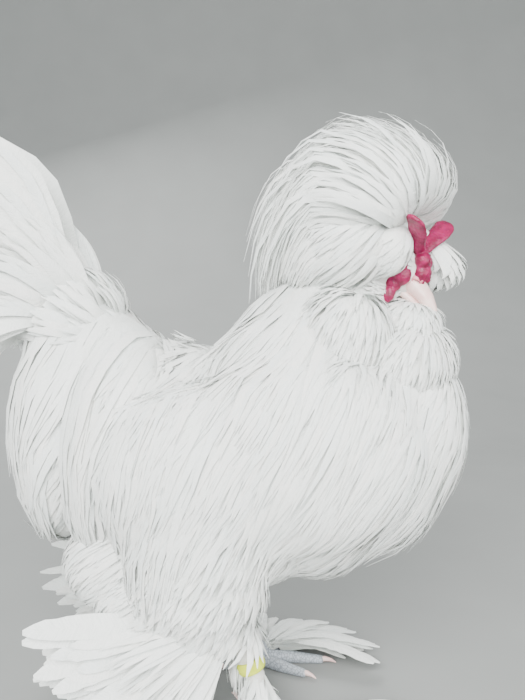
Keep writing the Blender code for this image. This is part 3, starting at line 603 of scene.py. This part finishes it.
def on_thigh(points, normals):
    x, y, z = points.T
    over_ring = (y < 0) & (z < 79) & (x > -27)
    return (z > 62) & (z <= 130) & (np.abs(y) > 14) & (x > -92) & (x < 8) & ~over_ring


lay_coat("thigh_fluff_under", on_thigh, thigh_lie, 5, 28, 4.2, (0, 3, 6, 8), 91)
lay_coat("thigh_fluff_top", on_thigh, thigh_lie, 3.8, 31, 2.3, (0, 5, 9, 12), 92, rings=5, stray=0.16)

# The tail: broad main feathers in a steep fan on each side, each with its shaft, with sickles and
# curved coverts bending over them to the rear.
TAIL_ROOT = np.array([-126.0, 0, 260])
TAIL_CURVES = [
    [(-124, 9, 262), (-130, 13, 304), (-148, 18, 346), (-190, 23, 368), (-236, 26, 350), (-272, 27, 296)],
    [(-128, 12, 262), (-144, 20, 294), (-174, 27, 320), (-212, 32, 322), (-250, 35, 288)],
    [(-112, 10, 256), (-112, 16, 280), (-119, 21, 302), (-132, 25, 322)],
    [(-120, 14, 258), (-130, 26, 276), (-150, 35, 290), (-174, 41, 296)],
    [(-126, 16, 256), (-142, 30, 264), (-162, 40, 266), (-188, 46, 256)],
    [(-132, 17, 256), (-148, 31, 252), (-164, 39, 240), (-180, 44, 218)],
]


def curve_through(points, count):
    """A smooth curve through points, as count places."""
    p = np.asarray(points, float)
    p = np.concatenate([2 * p[:1] - p[1:2], p, 2 * p[-1:] - p[-2:-1]])
    places = np.linspace(0, len(p) - 3 - 1e-6, count)
    k = places.astype(int)
    t = (places - k)[:, None]
    a, b, c, d = p[k], p[k + 1], p[k + 2], p[k + 3]
    return 0.5 * (2 * b + (c - a) * t + (2 * a - 5 * b + 4 * c - d) * t**2 + (3 * b - a - 3 * c + d) * t**3)


def placed_in_stand(spots):
    return np.asarray(spots) * MM + ORIGIN


def round_tail(points):
    """Unwrap of the tail: each side's own half, by height and reach."""
    u = 0.25 + 0.5 * (points[:, 1] > 0) + points[:, 0] / 1600
    return np.stack([u, np.clip(points[:, 2] / 400, 0, 1)], axis=1)


stiff_white = plumage_finish("stiff_white_feather", 12, 0.9)
draws = np.random.default_rng(17)
main, main_ups, curved, curved_ups = [], [], [], []
MAIN_FEATHERS, MAIN_RINGS = 7, 24
# on each side, the sickles come first and the coverts after them
SICKLES, CURVED, CURVED_RINGS, FINE = 3, 330, 12, 40
for side in SIDES.values():
    for k in range(MAIN_FEATHERS):
        angle = math.radians(110 + 8 * k)
        way = unit(np.array([math.cos(angle), side * (0.012 + 0.014 * k), math.sin(angle)]))
        root = TAIL_ROOT + np.array([-1.9 * k, side * (1.6 + 1.3 * k), -2.1 * k])
        t = np.linspace(0, 1, MAIN_RINGS)[:, None]
        reach = 134 - 5 * k
        main.append(root + way * reach * t + np.array([-0.11, 0, -0.08]) * reach * t**2)
        main_ups.append(np.tile(unit(np.array([0.1, side * 0.99, 0.12])), (MAIN_RINGS, 1)))
    for k in range(CURVED):
        if k < SICKLES:
            pair, blend, cut, scatter = 0, (0, 0.22, 0.45)[k], 1, 0.2
        else:
            pair = draws.choice(5, p=(0.14, 0.16, 0.2, 0.25, 0.25))
            blend, cut, scatter = draws.random(), draws.uniform(0.6, 0.98), 1
        first, second = (curve_through(TAIL_CURVES[n], FINE) for n in (pair, pair + 1))
        whole = first * (1 - blend) + second * blend
        shift = draws.normal(0, 1, 3) * (2.6, 3.4, 2.6) * scatter
        kept = np.linspace(0, (FINE - 1) * cut, CURVED_RINGS).astype(int)
        bowed = whole[kept] + shift * np.linspace(0.3, 1, CURVED_RINGS)[:, None]
        spread = 0.3 if k % 3 == 0 and k >= SICKLES else 1
        curved.append(bowed * (1, side * spread, 1))
        curved_ups.append(np.tile(unit(np.array([0, side, 0.1])), (CURVED_RINGS, 1)))
main, curved = placed_in_stand(main), placed_in_stand(curved)
main_ups, curved_ups = np.array(main_ups), np.array(curved_ups)
BROAD = (0.2, 0.5, 0.72, 0.86, 0.95, 1, 1, 1, 0.98, 0.95, 0.9, 0.8, 0.6, 0.06)
piece = feathers(
    "tail_main", main, main_ups, np.full(len(main), 12.5 * MM), 0.7 * MM, round_tail, stiff_white, 18,
    shape=BROAD, ragged=0.1,
)
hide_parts("tail")
feathers(
    "tail_shafts", main + main_ups * 0.6 * MM, main_ups, np.full(len(main), 0.9 * MM), 0.8 * MM, round_tail,
    stiff_white, 19, shape=(1, 0.9, 0.8, 0.6, 0.4, 0.2),
)
is_sickle = np.tile(np.arange(CURVED) < SICKLES, 2)
widths = np.where(is_sickle, 10, draws.uniform(3.2, 5.4, 2 * CURVED)) * MM
feathers(
    "tail_sickles_and_coverts", curved, curved_ups, widths, 0.5 * MM, round_tail, stiff_white, 20,
    shape=POINTED,
)

# The crest: a globe of long feathers that rise over the comb and sweep back in arcs over the skull,
# hanging low behind the head and, on each side, over the eye.
def combed(core, shell, headings, lie, turn, lift, fall, rings, frame_of=STAND @ TURNED):
    """Spines that leave a rounded core and sweep round towards an outer shell.

    Each is given by its middle and radii, in the turned head's frame or another. Turn is in radians,
    lift is a share of the shell's radii, and fall is how far the tips behind hang, in millimetres.
    """
    h = unit(headings)
    spots, ups = [], []
    core_middle, core_radii = np.asarray(core, float)
    shell_middle, shell_radii = np.asarray(shell, float)
    for i in range(rings):
        t = i / (rings - 1)
        share = 1 - (1 - t) ** 3
        inner = core_middle + core_radii * h * 0.72
        outer = shell_middle + shell_radii * h * (1 + lift[:, None] * (0.4 + 0.6 * t * t))
        spot = inner * (1 - share) + outer * share
        spot[:, 2] -= t * t * np.maximum(0, -h[:, 0]) * (fall * np.abs(h[:, 1]) + 0.55 * fall)
        spots.append(spot)
        ups.append(unit(h / shell_radii))
        way = lie(h)
        flow = way - (way * h).sum(1, keepdims=True) * h
        h = unit(h + unit(flow) * turn[:, None] / (rings - 1))
    placing = np.array(frame_of)
    spots, ups = np.stack(spots, 1) * MM, np.stack(ups, 1)
    return spots @ placing[:3, :3].T + placing[:3, 3], ups @ placing[:3, :3].T


def crest_lie(h):
    rise = np.maximum(0, h[:, 0] - 0.3) - 1.2 * np.maximum(0, 0.3 - h[:, 0])
    return np.stack([-np.ones(len(h)), 0 * h[:, 1], 0.2 + 1.4 * rise], axis=1)


def lobe_lie(h):
    return np.tile((-0.8, 0, -0.75), (len(h), 1))


def round_head(points):
    """Unwrap of the head: its compass direction and height."""
    away = points - np.array([80, -15, 300])
    u = (np.arctan2(away[:, 1], away[:, 0]) + math.pi) / (2 * math.pi)
    return np.stack([u, np.clip((points[:, 2] - 200) / 200, 0, 1)], axis=1)


def bent(headings, amount, seed):
    """Nudges directions so that neighbours gather in locks."""
    return unit(unit(headings) + clumped(unit(headings), 0.55, amount, seed))


# the crest's feathers spread from a pole over the comb, each core and shell as middle and radii
CREST_CORE = ((-14, 0, 30), (31, 28, 23))
CREST_SHELL = ((-26, 0, 36), (65, 58, 49))
pole = unit(np.array([1, 0, -0.3]))
high = unit(np.cross(pole, (0, 1, 0)))
for name, count, half_width, low, top, seed in (
    ("crest_under", 1500, 4.8, -0.22, -0.06, 61),
    ("crest_top", 3000, 2.4, -0.08, 0.04, 62),
    ("crest_wisps", 420, 0.8, 0.0, 0.1, 63),
    ("crest_tips", 130, 2.6, 0.05, 0.24, 64),
):
    draws = np.random.default_rng(seed)
    around = draws.uniform(-1, 1, count)
    tilt = np.arccos(np.clip(1 - draws.random(count) * 1.55, -1, 1))
    tilt = np.maximum(tilt, math.radians(7))
    around = around * np.radians(np.interp(np.degrees(tilt), (22, 54, 88, 118), (128, 98, 100, 92)))
    aside = high * np.cos(around)[:, None] + np.array((0, 1, 0)) * np.sin(around)[:, None]
    headings = pole * np.cos(tilt)[:, None] + aside * np.sin(tilt)[:, None]
    turn = np.radians(np.interp(np.degrees(tilt), (10, 60, 130), (64, 56, 34)) + draws.uniform(-7, 7, count))
    lift = draws.uniform(low, top, count)
    spines, ups = combed(CREST_CORE, CREST_SHELL, bent(headings, 0.35, 5), crest_lie, turn, lift, 46, 7)
    widths = half_width * draws.uniform(0.75, 1.2, count) * MM
    piece = feathers(name, spines, ups, widths, 0.3 * MM, round_head, soft_white, seed, shape=POINTED)
    if name == "crest_under":
        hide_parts("crest")
BROW = {"left": ((8, 27, -3), (29, 21, 17)), "right": ((1, -19, 8), (21, 16, 18))}
for word, side in SIDES.items():
    lobe_core, lobe_shell = ((-4, side * 12, 22), (16, 8, 10)), ((-24, side * 28, 12), (38, 28, 31))
    brow_core = ((8, side * 9, 20), (9, 6, 7))
    for name, core, shell, middle, count, seed in (
        ("lobe", lobe_core, lobe_shell, (0.1, side * 0.85, 0.4), 1200, 66),
        ("brow", brow_core, BROW[word], (0.35, side * 0.7, 0.3), 900, 67),
    ):
        draws = np.random.default_rng(seed)
        headings = draws.normal(size=(count, 3)) * (0.6, 0.45, 0.5) + middle
        turn = np.radians(draws.uniform(50, 95, count) * (0.45 if (name, word) == ("brow", "left") else 1))
        lift = draws.uniform(-0.2, 0.04, count)
        spines, ups = combed(core, shell, bent(headings, 0.3, 5), lobe_lie, turn, lift, 14, 7)
        widths = draws.uniform(1.8, 2.8, count) * MM
        name = f"crest_{name}_{word}"
        feathers(name, spines, ups, widths, 0.25 * MM, round_head, soft_white, seed, shape=POINTED)

# The beard and muffs: soft short feathers in round puffs, one under the beak, a smaller one at the
# chin and one on each cheek. They grow from inside the puff and sweep down round it.
def puff(name, core, shell, count, seed, lie, lean, turns, lifts, widths, rings, unwrap, frame_of):
    """Feathers that leave a rounded core, lean one way and sweep over each other.

    turns, in degrees, lifts and half widths, in millimetres, are each a least and a most.
    """
    draws = np.random.default_rng(seed)
    headings = bent(unit(draws.normal(size=(count, 3))) + lean, 0.3, seed)
    turn = np.radians(draws.uniform(*turns, count))
    lift = draws.uniform(*lifts, count)
    spines, ups = combed(core, shell, headings, lie, turn, lift, 0, rings, frame_of)
    half_widths = draws.uniform(*widths, count) * MM
    return feathers(name, spines, ups, half_widths, 0.25 * MM, unwrap, soft_white, seed, shape=POINTED)


def beard_lie(h):
    return np.tile((-0.35, 0, -1), (len(h), 1))


BEARD = (beard_lie, (0.25, 0, 0.3), (35, 70), (-0.16, 0.1), (1.4, 2.4), 5, round_head, STAND @ TURNED)
beard = puff("beard_puff", ((14, 0, -50), (16, 20, 15)), ((15, 0, -59), (25, 36, 27)), 2000, 31, *BEARD)
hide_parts("beard")
puff("chin_puff", ((10, 0, -30), (10, 11, 8)), ((10, 0, -39), (22, 24, 19)), 1300, 34, *BEARD)
for (word, side), seed in zip(SIDES.items(), (32, 33)):
    core, shell = ((-12, side * 22, -34), (16, 14, 16)), ((-17, side * 31, -42), (30, 27, 31))
    puff(f"muff_{word}", core, shell, 2000, seed, *BEARD)

# The fluff: loose down in rounded puffs that fills out the rump and the back of the thighs, the nape
# under the crest, and the base of the tail.
def fluff_lie(h):
    return np.tile((-0.7, 0, -0.7), (len(h), 1))


def nape_lie(h):
    return np.tile((-0.25, 0, -1), (len(h), 1))


def tail_base_lie(h):
    return np.stack([np.full(len(h), -0.6), np.zeros(len(h)), 0.7 * h[:, 2]], axis=1)


for word, side in SIDES.items():
    lean = (-0.3, side * 0.2, 0)
    fluff = (fluff_lie, lean, (40, 80), (-0.14, 0.06), (1.6, 2.7), 5, round_trunk, STAND)
    core, shell = ((-74, side * 34, 118), (20, 14, 18)), ((-84, side * 36, 108), (36, 26, 31))
    puff(f"rump_fluff_{word}", core, shell, 1400, 35, *fluff)
    core, shell = ((-54, side * 44, 96), (20, 12, 16)), ((-64, side * 48, 88), (36, 21, 27))
    puff(f"thigh_puff_{word}", core, shell, 1100, 36, *fluff)
DEEP = ((0, 0, 0), (30, 70), (-0.16, 0.08), (2, 3.4), 6, round_trunk)
core, shell = ((-22, 0, 14), (14, 22, 20)), ((-46, 0, 6), (24, 38, 38))
puff("crest_nape", core, shell, 1200, 37, nape_lie, *DEEP, STAND @ TURNED)
core, shell = ((-108, 0, 240), (16, 20, 16)), ((-116, 0, 248), (38, 38, 38))
puff("tail_base", core, shell, 1300, 38, tail_base_lie, *DEEP, STAND)

# The vulture hocks: stiff feathers with round ends that point backwards from each hock, and soft
# down at their roots. Below them the shanks are feathered down to the toes.
def leg_place(spots, side):
    """Places given in millimetres for the right leg, on either side of the bird."""
    out = np.asarray(spots, float) * (1, side, 1)
    out[..., 0] -= LEFT_LEG_BACK if side == 1 else 0
    return placed_in_stand(out)


def round_leg(points):
    """Unwrap of a leg: each side's own half, round the bone and by height."""
    turn = (np.arctan2(np.abs(points[:, 1]) - 47, points[:, 0] + 20) + math.pi) / (4 * math.pi)
    return np.stack([turn + 0.5 * (points[:, 1] > 0), np.clip(points[:, 2] / 100, 0, 1)], axis=1)


def shank_lie(points, normals):
    return np.stack([-0.25 + 0.5 * normals[:, 0], 0.5 * normals[:, 1], -1 + 0 * normals[:, 2]], axis=1)


def on_shank(points, normals):
    x, y, z = points.T
    ring = (y < 0) & (z > 43) & (normals[:, 0] > -0.35)
    return (z > 9) & (z <= 68) & (np.abs(y) > 20) & ~ring


def trailing(root, drop, out, reach, bow, rings, lowest, side):
    """Spines that point backwards from their roots, each down and out by its own degrees, and bowed."""
    drop, out = np.radians(drop), np.radians(out)
    way = np.stack([-np.cos(drop) * np.cos(out), np.sin(out), -np.sin(drop)], axis=1)
    s = np.linspace(0, 1, rings)[None, :, None]
    spots = root[:, None] + way[:, None] * reach[:, None, None] * s + bow[:, None] * s**2
    spots[..., 2] = np.maximum(spots[..., 2], lowest)
    return leg_place(spots, side)


# half widths along a stiff feather with a round end
ROUNDED = (0.3, 0.5, 0.68, 0.82, 0.92, 0.98, 1, 1, 1, 1, 1, 0.99, 0.97, 0.93, 0.87, 0.78, 0.6, 0.2)
HOCK_FEATHERS, HOCK_RINGS = 190, 18
HOCK_DOWN, HOCK_DOWN_RINGS = 420, 7
for word, side in SIDES.items():
    draws = np.random.default_rng(101)
    t, aside = draws.random((2, HOCK_FEATHERS))
    drop = 1 + 46 * t + draws.normal(0, 5, HOCK_FEATHERS)
    out = 2 + 9 * t + 9 * aside + draws.normal(0, 2, HOCK_FEATHERS)
    root = np.stack([-34 + 10 * t, 40 + 18 * aside, 77 - 15 * t], axis=1)
    reach = (106 - 38 * t + (16 if side == 1 else 0)) * draws.uniform(0.68, 1, HOCK_FEATHERS)
    bow = np.stack([0 * t, 4 * (aside - 0.3), -9 + 0 * t], axis=1)
    spines = trailing(root, drop, out, reach, bow, HOCK_RINGS, 8, side)
    ups = np.tile(unit(np.array([0, side, 0.5])), (HOCK_FEATHERS, HOCK_RINGS, 1))
    widths = draws.uniform(5, 8.5, HOCK_FEATHERS) * MM
    piece = feathers(
        f"vulture_hock_{word}", spines, ups, widths, 0.5 * MM, round_leg, stiff_white, 102,
        shape=ROUNDED, ragged=0.12,
    )
    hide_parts(f"hock_{word}")
    t, aside = draws.random((2, HOCK_DOWN))
    drop = 4 + 50 * t + draws.normal(0, 9, HOCK_DOWN)
    out = 6 + 14 * aside + draws.normal(0, 6, HOCK_DOWN)
    root = np.stack([-40 + 16 * t, 38 + 26 * aside, 80 - 22 * t], axis=1)
    reach = draws.uniform(22, 58, HOCK_DOWN)
    bow = np.tile((0.0, 2, -6), (HOCK_DOWN, 1))
    spines = trailing(root, drop, out, reach, bow, HOCK_DOWN_RINGS, 4, side)
    ups = np.tile(unit(np.array([-0.2, side, 0.5])), (HOCK_DOWN, HOCK_DOWN_RINGS, 1))
    widths = draws.uniform(1.6, 3, HOCK_DOWN) * MM
    name = f"hock_down_{word}"
    feathers(name, spines, ups, widths, 0.3 * MM, round_leg, soft_white, 104, shape=POINTED)
lay_coat("shank_fluff", on_shank, shank_lie, 2.7, 19, 1.7, (0, 3, 6, 8), 103, unwrap=round_leg, stray=0.16)

# The feet: five toes each, slate scales above and flat pads below, and on the outer toes long stiff
# feathers that lie out over the floor.
def chain(stops, frame_of, step=0.5):
    """Lumps strung along a path of places and half sizes, close enough to run into a smooth rod."""
    stops = np.asarray(stops, float)
    run = np.concatenate([[0], np.cumsum(np.linalg.norm(np.diff(stops[:, :3], axis=0), axis=1))])
    made, along = [], 0
    while along <= run[-1] + 1e-6:
        stop = [float(np.interp(along, run, stops[:, k])) for k in range(6)]
        made.append(lump(stop[:3], stop[3:], frame_of))
        along += step * min(stop[3:])
    return made


TOES = {
    # places x, y, z and thickness, from the ball of the foot
    "inner": [(4, -3, 4.2, 4.6), (20, -13, 3.9, 4.2), (36, -21, 2.9, 3)],
    "middle": [(5, 0, 4.4, 4.9), (26, 0, 4.1, 4.4), (50, -2, 3, 3.1)],
    "outer": [(4, 3, 4.2, 4.6), (19, 15, 3.9, 4.2), (35, 25, 2.9, 3)],
    "hind": [(-2, -3, 4, 4.2), (-13, -8, 3.2, 3.4), (-21, -11, 2.6, 2.6)],
    "fifth": [(-2, -5, 11, 3.6), (-11, -12, 12.5, 3), (-19, -17, 16, 2.3)],
}
CLAW_LENGTH = {"inner": 11, "middle": 12, "outer": 11, "hind": 9, "fifth": 8}
low, high = (0, (0.2, 0.22, 0.24)), (0.12, (0.44, 0.48, 0.52))
scaled = grained("slate_scales", 420, low, high, 0.5, depth=0.35, cells=True)
low, high = (0.3, (0.8, 0.5, 0.47)), (0.7, (0.9, 0.72, 0.66))
horn = grained("pale_horn", 130, low, high, 0.32, depth=0.1, detail=3)
horn.node_tree.nodes["Principled BSDF"].inputs["Coat Weight"].default_value = 0.2
FOOT_FEATHERS, FOOT_RINGS = 70, 18

for word, side in SIDES.items():
    draws = np.random.default_rng(111)
    back = LEFT_LEG_BACK if side == 1 else 0
    frame_of = STAND @ Matrix.Translation(Vector((5 - back, side * 47, 0)) * MM)
    toes = [lump((0, 0, 9), (11, 10, 9), frame_of)]
    claws = []
    for name, stops in TOES.items():
        path = [(x, side * y, z, r, r, r) for x, y, z, r in stops]
        toes += chain(path, frame_of)
        end, before = np.array(path[-1][:3]), np.array(path[-2][:3])
        ahead = unit(end - before)
        nail = []
        for t, r in ((0, 2.1), (0.35, 1.9), (0.7, 1.3), (1, 0.55)):
            spot = end - ahead * 1.5 + ahead * CLAW_LENGTH[name] * t
            spot[2] += 1.4 * math.sin(math.pi * t) - 1.2 * t + (2 * t if name == "fifth" else 0)
            spot[2] = max(spot[2], r + 0.3)
            nail.append((*spot, r, r * 0.8, r))
        claws += chain(nail, frame_of)
    toes = run_together(f"toes_{word}", toes, 0.9 * MM, 3)
    for point in toes.data.vertices:
        point.co.z = max(point.co.z, 0.05 * MM)
    claws = run_together(f"claws_{word}", claws, 0.45 * MM, 2)
    for piece, paint, slot in ((toes, scaled, "blue_scale"), (claws, horn, "pale_horn")):
        piece.data.materials.clear()
        piece.data.materials.append(paint)
        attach(piece, "root")
    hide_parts(f"foot_{word}")
    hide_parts(*(f"claw_{name}_{word}" for name in TOES))
    t = draws.random(FOOT_FEATHERS)
    turn = np.radians(-22 + 156 * t + draws.normal(0, 6, FOOT_FEATHERS))
    way = np.stack([np.cos(turn), np.sin(turn), 0 * t], axis=1)
    root = np.stack([33 - 34 * t, 54 - 3 * t, 5.5 + 9 * draws.random(FOOT_FEATHERS)], axis=1)
    reach = (70 - 17 * t) * draws.uniform(0.62, 1.02, FOOT_FEATHERS)
    s = np.linspace(0, 1, FOOT_RINGS)[None, :, None]
    rise = np.concatenate([0 * s, 0 * s, 5 * np.sin(math.pi * s) - s * 3], axis=2)
    spines = leg_place(root[:, None] + way[:, None] * reach[:, None, None] * s + rise, side)
    ups = unit(np.array((0, 0, 1.0)) + way[:, None] * (0.1, 0.1 * side, 0))
    ups = np.tile(ups, (1, FOOT_RINGS, 1))
    widths = draws.uniform(4.2, 7, FOOT_FEATHERS) * MM
    feathers(
        f"foot_feathers_{word}", spines, ups, widths, 0.5 * MM, round_leg, stiff_white, 112,
        shape=ROUNDED, ragged=0.2,
    )
    widths = np.full(FOOT_FEATHERS, 0.6 * MM)
    feathers(
        f"foot_quills_{word}", spines + ups * 0.4 * MM, ups, widths, 0.6 * MM, round_leg, stiff_white, 113,
        shape=(1, 0.8, 0.5, 0.1),
    )

# The leg ring: a smooth yellow-green plastic band, slipped loosely over the right shank.
ring_place = STAND @ Matrix.Translation(Vector((-7.3, -47, 49)) * MM)
ring_lean = Vector((-9, 0, 23)).to_track_quat("Z", "Y").to_matrix().to_4x4()
bpy.ops.object.select_all(action="DESELECT")
bpy.ops.mesh.primitive_torus_add(
    major_segments=64, minor_segments=20, major_radius=7.6 * MM, minor_radius=1.35 * MM
)
ring = bpy.context.object
ring.name = ring.data.name = "leg_ring"
ring.data.transform(ring_place @ ring_lean @ Matrix.Diagonal((1, 1, 2.9, 1)))
bpy.ops.object.shade_smooth()
plastic = grained("yellow_green_plastic", 300, (0, (0.6, 0.7, 0.03)), (1, (0.78, 0.85, 0.08)), 0.35)
ring.data.materials.append(plastic)
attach(ring, "root")
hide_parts("leg_band")

# The face: bare magenta skin round the eyes and down to the small round wattles, and over the beak
# the comb, a knobbly ridge of papillae that forks into two flat horns.
FACE = STAND @ HEAD
low, high = (0.35, (0.15, 0.0005, 0.03)), (0.68, (0.33, 0.001, 0.08))
flesh_red = grained("magenta_skin", 190, low, high, 0.42, detail=4)
nodes, links = flesh_red.node_tree.nodes, flesh_red.node_tree.links
warts = nodes.new("ShaderNodeTexVoronoi")
warts.inputs["Scale"].default_value = 620
relief = nodes.new("ShaderNodeBump")
relief.inputs["Distance"].default_value = 0.4 * MM
relief.inputs["Strength"].default_value = 0.6
relief.invert = True
links.new(nodes["Texture Coordinate"].outputs["Object"], warts.inputs["Vector"])
links.new(warts.outputs["Distance"], relief.inputs["Height"])
flesh = nodes["Principled BSDF"].inputs
links.new(relief.outputs["Normal"], flesh["Normal"])
flesh["Subsurface Weight"].default_value = 0.15
flesh["Subsurface Scale"].default_value = 1.5 * MM


def fleshy(name, lumps, voxel, rounds, paint, rough=0.0, replaced=()):
    """Flesh or horn run together from lumps, roughened a little, painted, attached to the root and put in
    place of the parts it replaces.
    """
    made = run_together(name, lumps, voxel, rounds)
    if rough:
        grain = bpy.data.textures.new(name + "_grain", "CLOUDS")
        grain.noise_scale = 3.2 * MM
        finished(made, ("DISPLACE", {"texture": grain, "strength": rough, "texture_coords": "LOCAL"}))
    made.data.materials.clear()
    made.data.materials.append(paint)
    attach(made, "root")
    if replaced:
        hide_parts(*replaced)
    return made


draws = np.random.default_rng(121)
RIDGE = [
    # middle x, y, z and half sizes, from the top down to the beak
    (8, 0, 17, 4, 4, 4),
    (12, 0, 15.5, 4.4, 4.4, 4.6),
    (17, 0, 9, 5, 5.6, 5),
    (20, 0, 3, 4.6, 5.8, 4.8),
    (21, 0, -1, 3.4, 4.2, 3),
]
HORN_OF_COMB = [
    # the same, from the ridge out to the tip
    (12, 2, 13, 4.4, 2.6, 3),
    (12, 9, 20, 5.6, 2.3, 2.6),
    (12, 17, 27, 6.8, 2.2, 2.4),
    (11, 23, 31.5, 6.6, 2, 2.2),
    (10.4, 26, 33, 4.6, 1.6, 1.6),
]
PAPILLAE = 90
growth = chain(RIDGE, FACE)
for place, r in (((18, -3, 10.5), 5.2), ((20.4, -1.5, 3.6), 5.6), ((17.6, 3.5, 9), 4.8)):
    growth.append(lump(place, (r, r, r), FACE))
for side in SIDES.values():
    growth += chain([(x, side * y, *rest) for x, y, *rest in HORN_OF_COMB], FACE, 0.6)
for k in range(PAPILLAE):
    t = draws.random()
    stop = np.array([np.interp(t, np.linspace(0, 1, 5), [row[j] for row in RIDGE]) for j in range(3)])
    bud = unit(draws.normal(size=3) * (0.5, 1, 0.5) + (0.7, 0, 0.3))
    r = draws.uniform(0.9, 1.6)
    growth.append(lump(stop + bud * draws.uniform(4.4, 5.6), (r, r, r), FACE))
fleshy("comb_with_horns", growth, 0.55 * MM, 2, flesh_red, 0.7 * MM, ("comb",))

bare = []
LID_LUMPS = 22
for side in SIDES.values():
    bare += [
        lump((4.5, side * 11.6, 3), (10.5, 4, 9), FACE),
        lump((11.5, side * 9.4, -2), (7.5, 4.6, 7), FACE),
        lump((10, side * 10, -8.5), (6, 3.8, 5.5), FACE),
    ]
    for k in range(LID_LUMPS):
        turn = 2 * math.pi * k / LID_LUMPS
        wide = 1.7 if math.sin(turn) > 0 else 1.35
        x, z = 4.5 + 5.3 * math.cos(turn), 3.5 + 4.5 * math.sin(turn)
        bare.append(lump((x, side * 15.3, z), (1.3, 1.5, wide), FACE))
    bare.append(lump((4.5, side * 15.4, 7.4), (4.8, 1.6, 1.6), FACE))
fleshy("face_skin", bare, 0.5 * MM, 3, flesh_red, 0.5 * MM)
WATTLE = [(11.5, 11.3, -11, 3.6, 2.3, 3), (11.3, 12, -16, 4.6, 2.7, 4.2), (11, 12.2, -19, 3.6, 2.2, 3)]
for word, side in SIDES.items():
    drop = chain([(x, side * y, *rest) for x, y, *rest in WATTLE], FACE)
    fleshy(f"wattle_skin_{word}", drop, 0.5 * MM, 3, flesh_red, 0.5 * MM, (f"wattle_{word}",))

# The beak: two pinkish white horn halves that meet along the mouth, the upper one hooked over the
# lower, with the large arched nostrils of the breed swelling pink at its base.
UPPER = [
    # middle x, y, z and half sizes, from the base to the tip
    (13, 0, -4, 6, 7.8, 7),
    (22, 0, -5.4, 5.4, 6.8, 6),
    (30, 0, -8.6, 4.2, 5.2, 4.8),
    (36.5, 0, -12.8, 3, 3.4, 3.3),
    (41.2, 0, -17.4, 1.1, 1.2, 1.4),
]
LOWER = [
    (11, 0, -11.5, 4, 6.2, 3.4),
    (20, 0, -12.9, 3.6, 5, 3),
    (28, 0, -14.9, 2.6, 3.5, 2.2),
    (34, 0, -16.9, 1.1, 1.4, 1),
]
fleshy("beak_top", chain(UPPER, FACE, 0.35), 0.5 * MM, 4, horn, 0, ("beak_upper",))
fleshy("beak_bottom", chain(LOWER, FACE, 0.35), 0.5 * MM, 4, horn, 0, ("beak_lower",))
pink = flesh_red.copy()
pink.name = "pink_cere"
for node in pink.node_tree.nodes:
    if node.type == "VALTORGB":
        node.color_ramp.elements[0].color = (0.62, 0.16, 0.22, 1)
        node.color_ramp.elements[1].color = (0.8, 0.36, 0.38, 1)
arches = [lump((19.5, side * 3.9, -0.4), (5.4, 3.2, 3.4), FACE) for side in SIDES.values()]
arches += [lump((15, side * 4.6, -1.4), (5, 3.6, 4), FACE) for side in SIDES.values()]
cere = fleshy("nostril_arches", arches, 0.4 * MM, 3, pink, 0.2 * MM)
pits = [lump((22, side * 6.4, -1.6), (2.7, 2, 1.15), FACE) for side in SIDES.values()]
pits = run_together("pits", pits, 0.3 * MM, 1)
finished(cere, ("BOOLEAN", {"object": pits, "operation": "DIFFERENCE"}))
bpy.data.objects.remove(pits)

# The eyes: wet reddish brown irises with round black pupils, set in their lids. Each is one ball,
# coloured in rings by the angle from its line of sight, with a slight bulge in front.
iris = bpy.data.materials.new("wet_brown_iris")
iris.use_nodes = True
nodes, links = iris.node_tree.nodes, iris.node_tree.links
gaze = nodes.new("ShaderNodeAttribute")
gaze.attribute_name = "gaze"
pupil, brown = (0.2, (0.004, 0.003, 0.003)), (0.23, (0.3, 0.09, 0.02))
colour = graded(iris.node_tree, gaze.outputs["Fac"], pupil, brown)
rings = colour.node.color_ramp.elements
for place, paint in ((0.4, (0.42, 0.15, 0.04)), (0.47, (0.08, 0.02, 0.01)), (0.6, (0.4, 0.3, 0.27))):
    rings.new(place).color = (*paint, 1)
wet = nodes["Principled BSDF"].inputs
links.new(colour, wet["Base Color"])
wet["Roughness"].default_value = 0.08
wet["Coat Weight"].default_value = 1
SIGHT = Vector((0, 0, 1))
for word, side in SIDES.items():
    bpy.ops.object.select_all(action="DESELECT")
    bpy.ops.mesh.primitive_uv_sphere_add(segments=48, ring_count=32, radius=4.75 * MM)
    eye = bpy.context.object
    eye.name = eye.data.name = f"eyeball_{word}"
    turn = np.array([point.co.normalized().angle(SIGHT) / math.pi for point in eye.data.vertices])
    eye.data.attributes.new("gaze", "FLOAT", "POINT").data.foreach_set("value", turn.astype(np.float32))
    for point in eye.data.vertices:
        point.co.z *= 1.06 if point.co.z > 3.6 * MM else 1
    facing = Vector((0.18, side, 0.05)).to_track_quat("Z", "Y").to_matrix().to_4x4()
    eye.data.transform(FACE @ Matrix.Translation(Vector((4.5, side * 12.4, 3.5)) * MM) @ facing)
    bpy.ops.object.shade_smooth()
    eye.data.materials.append(iris)
    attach(eye, "root")
    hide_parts(f"eye_{word}")

# The face feathers: small, short and close, rooted in the skin of the head up to the edge of the bare
# skin round the eyes, the comb and the beak.
to_face = np.array(FACE.inverted())


def in_face(points):
    return (placed_in_stand(points) @ to_face[:3, :3].T + to_face[:3, 3]) / MM


def face_lie(points, normals):
    return np.tile(np.array(FACE)[:3, :3] @ (-1, 0, -0.35), (len(points), 1))


def on_face(points, normals):
    x, y, z = in_face(points).T
    from_eye = np.hypot(x - 4.5, z - 3.5)
    under_comb = (np.abs(y) < 5) & (x > 6) & (z > 4)
    by_beak = (x > 5) & (z > -11) & (z < 4)
    near = np.sqrt(x**2 + y**2 + z**2) < 27
    return near & (from_eye > 9.5) & (x < 17) & ~under_comb & ~by_beak


lay_coat(
    "face_feathers", on_face, face_lie, 1.9, 7.5, 0.9, (0, 1, 1.8, 2.2), 131,
    depth=0.25 * MM, unwrap=round_head,
)
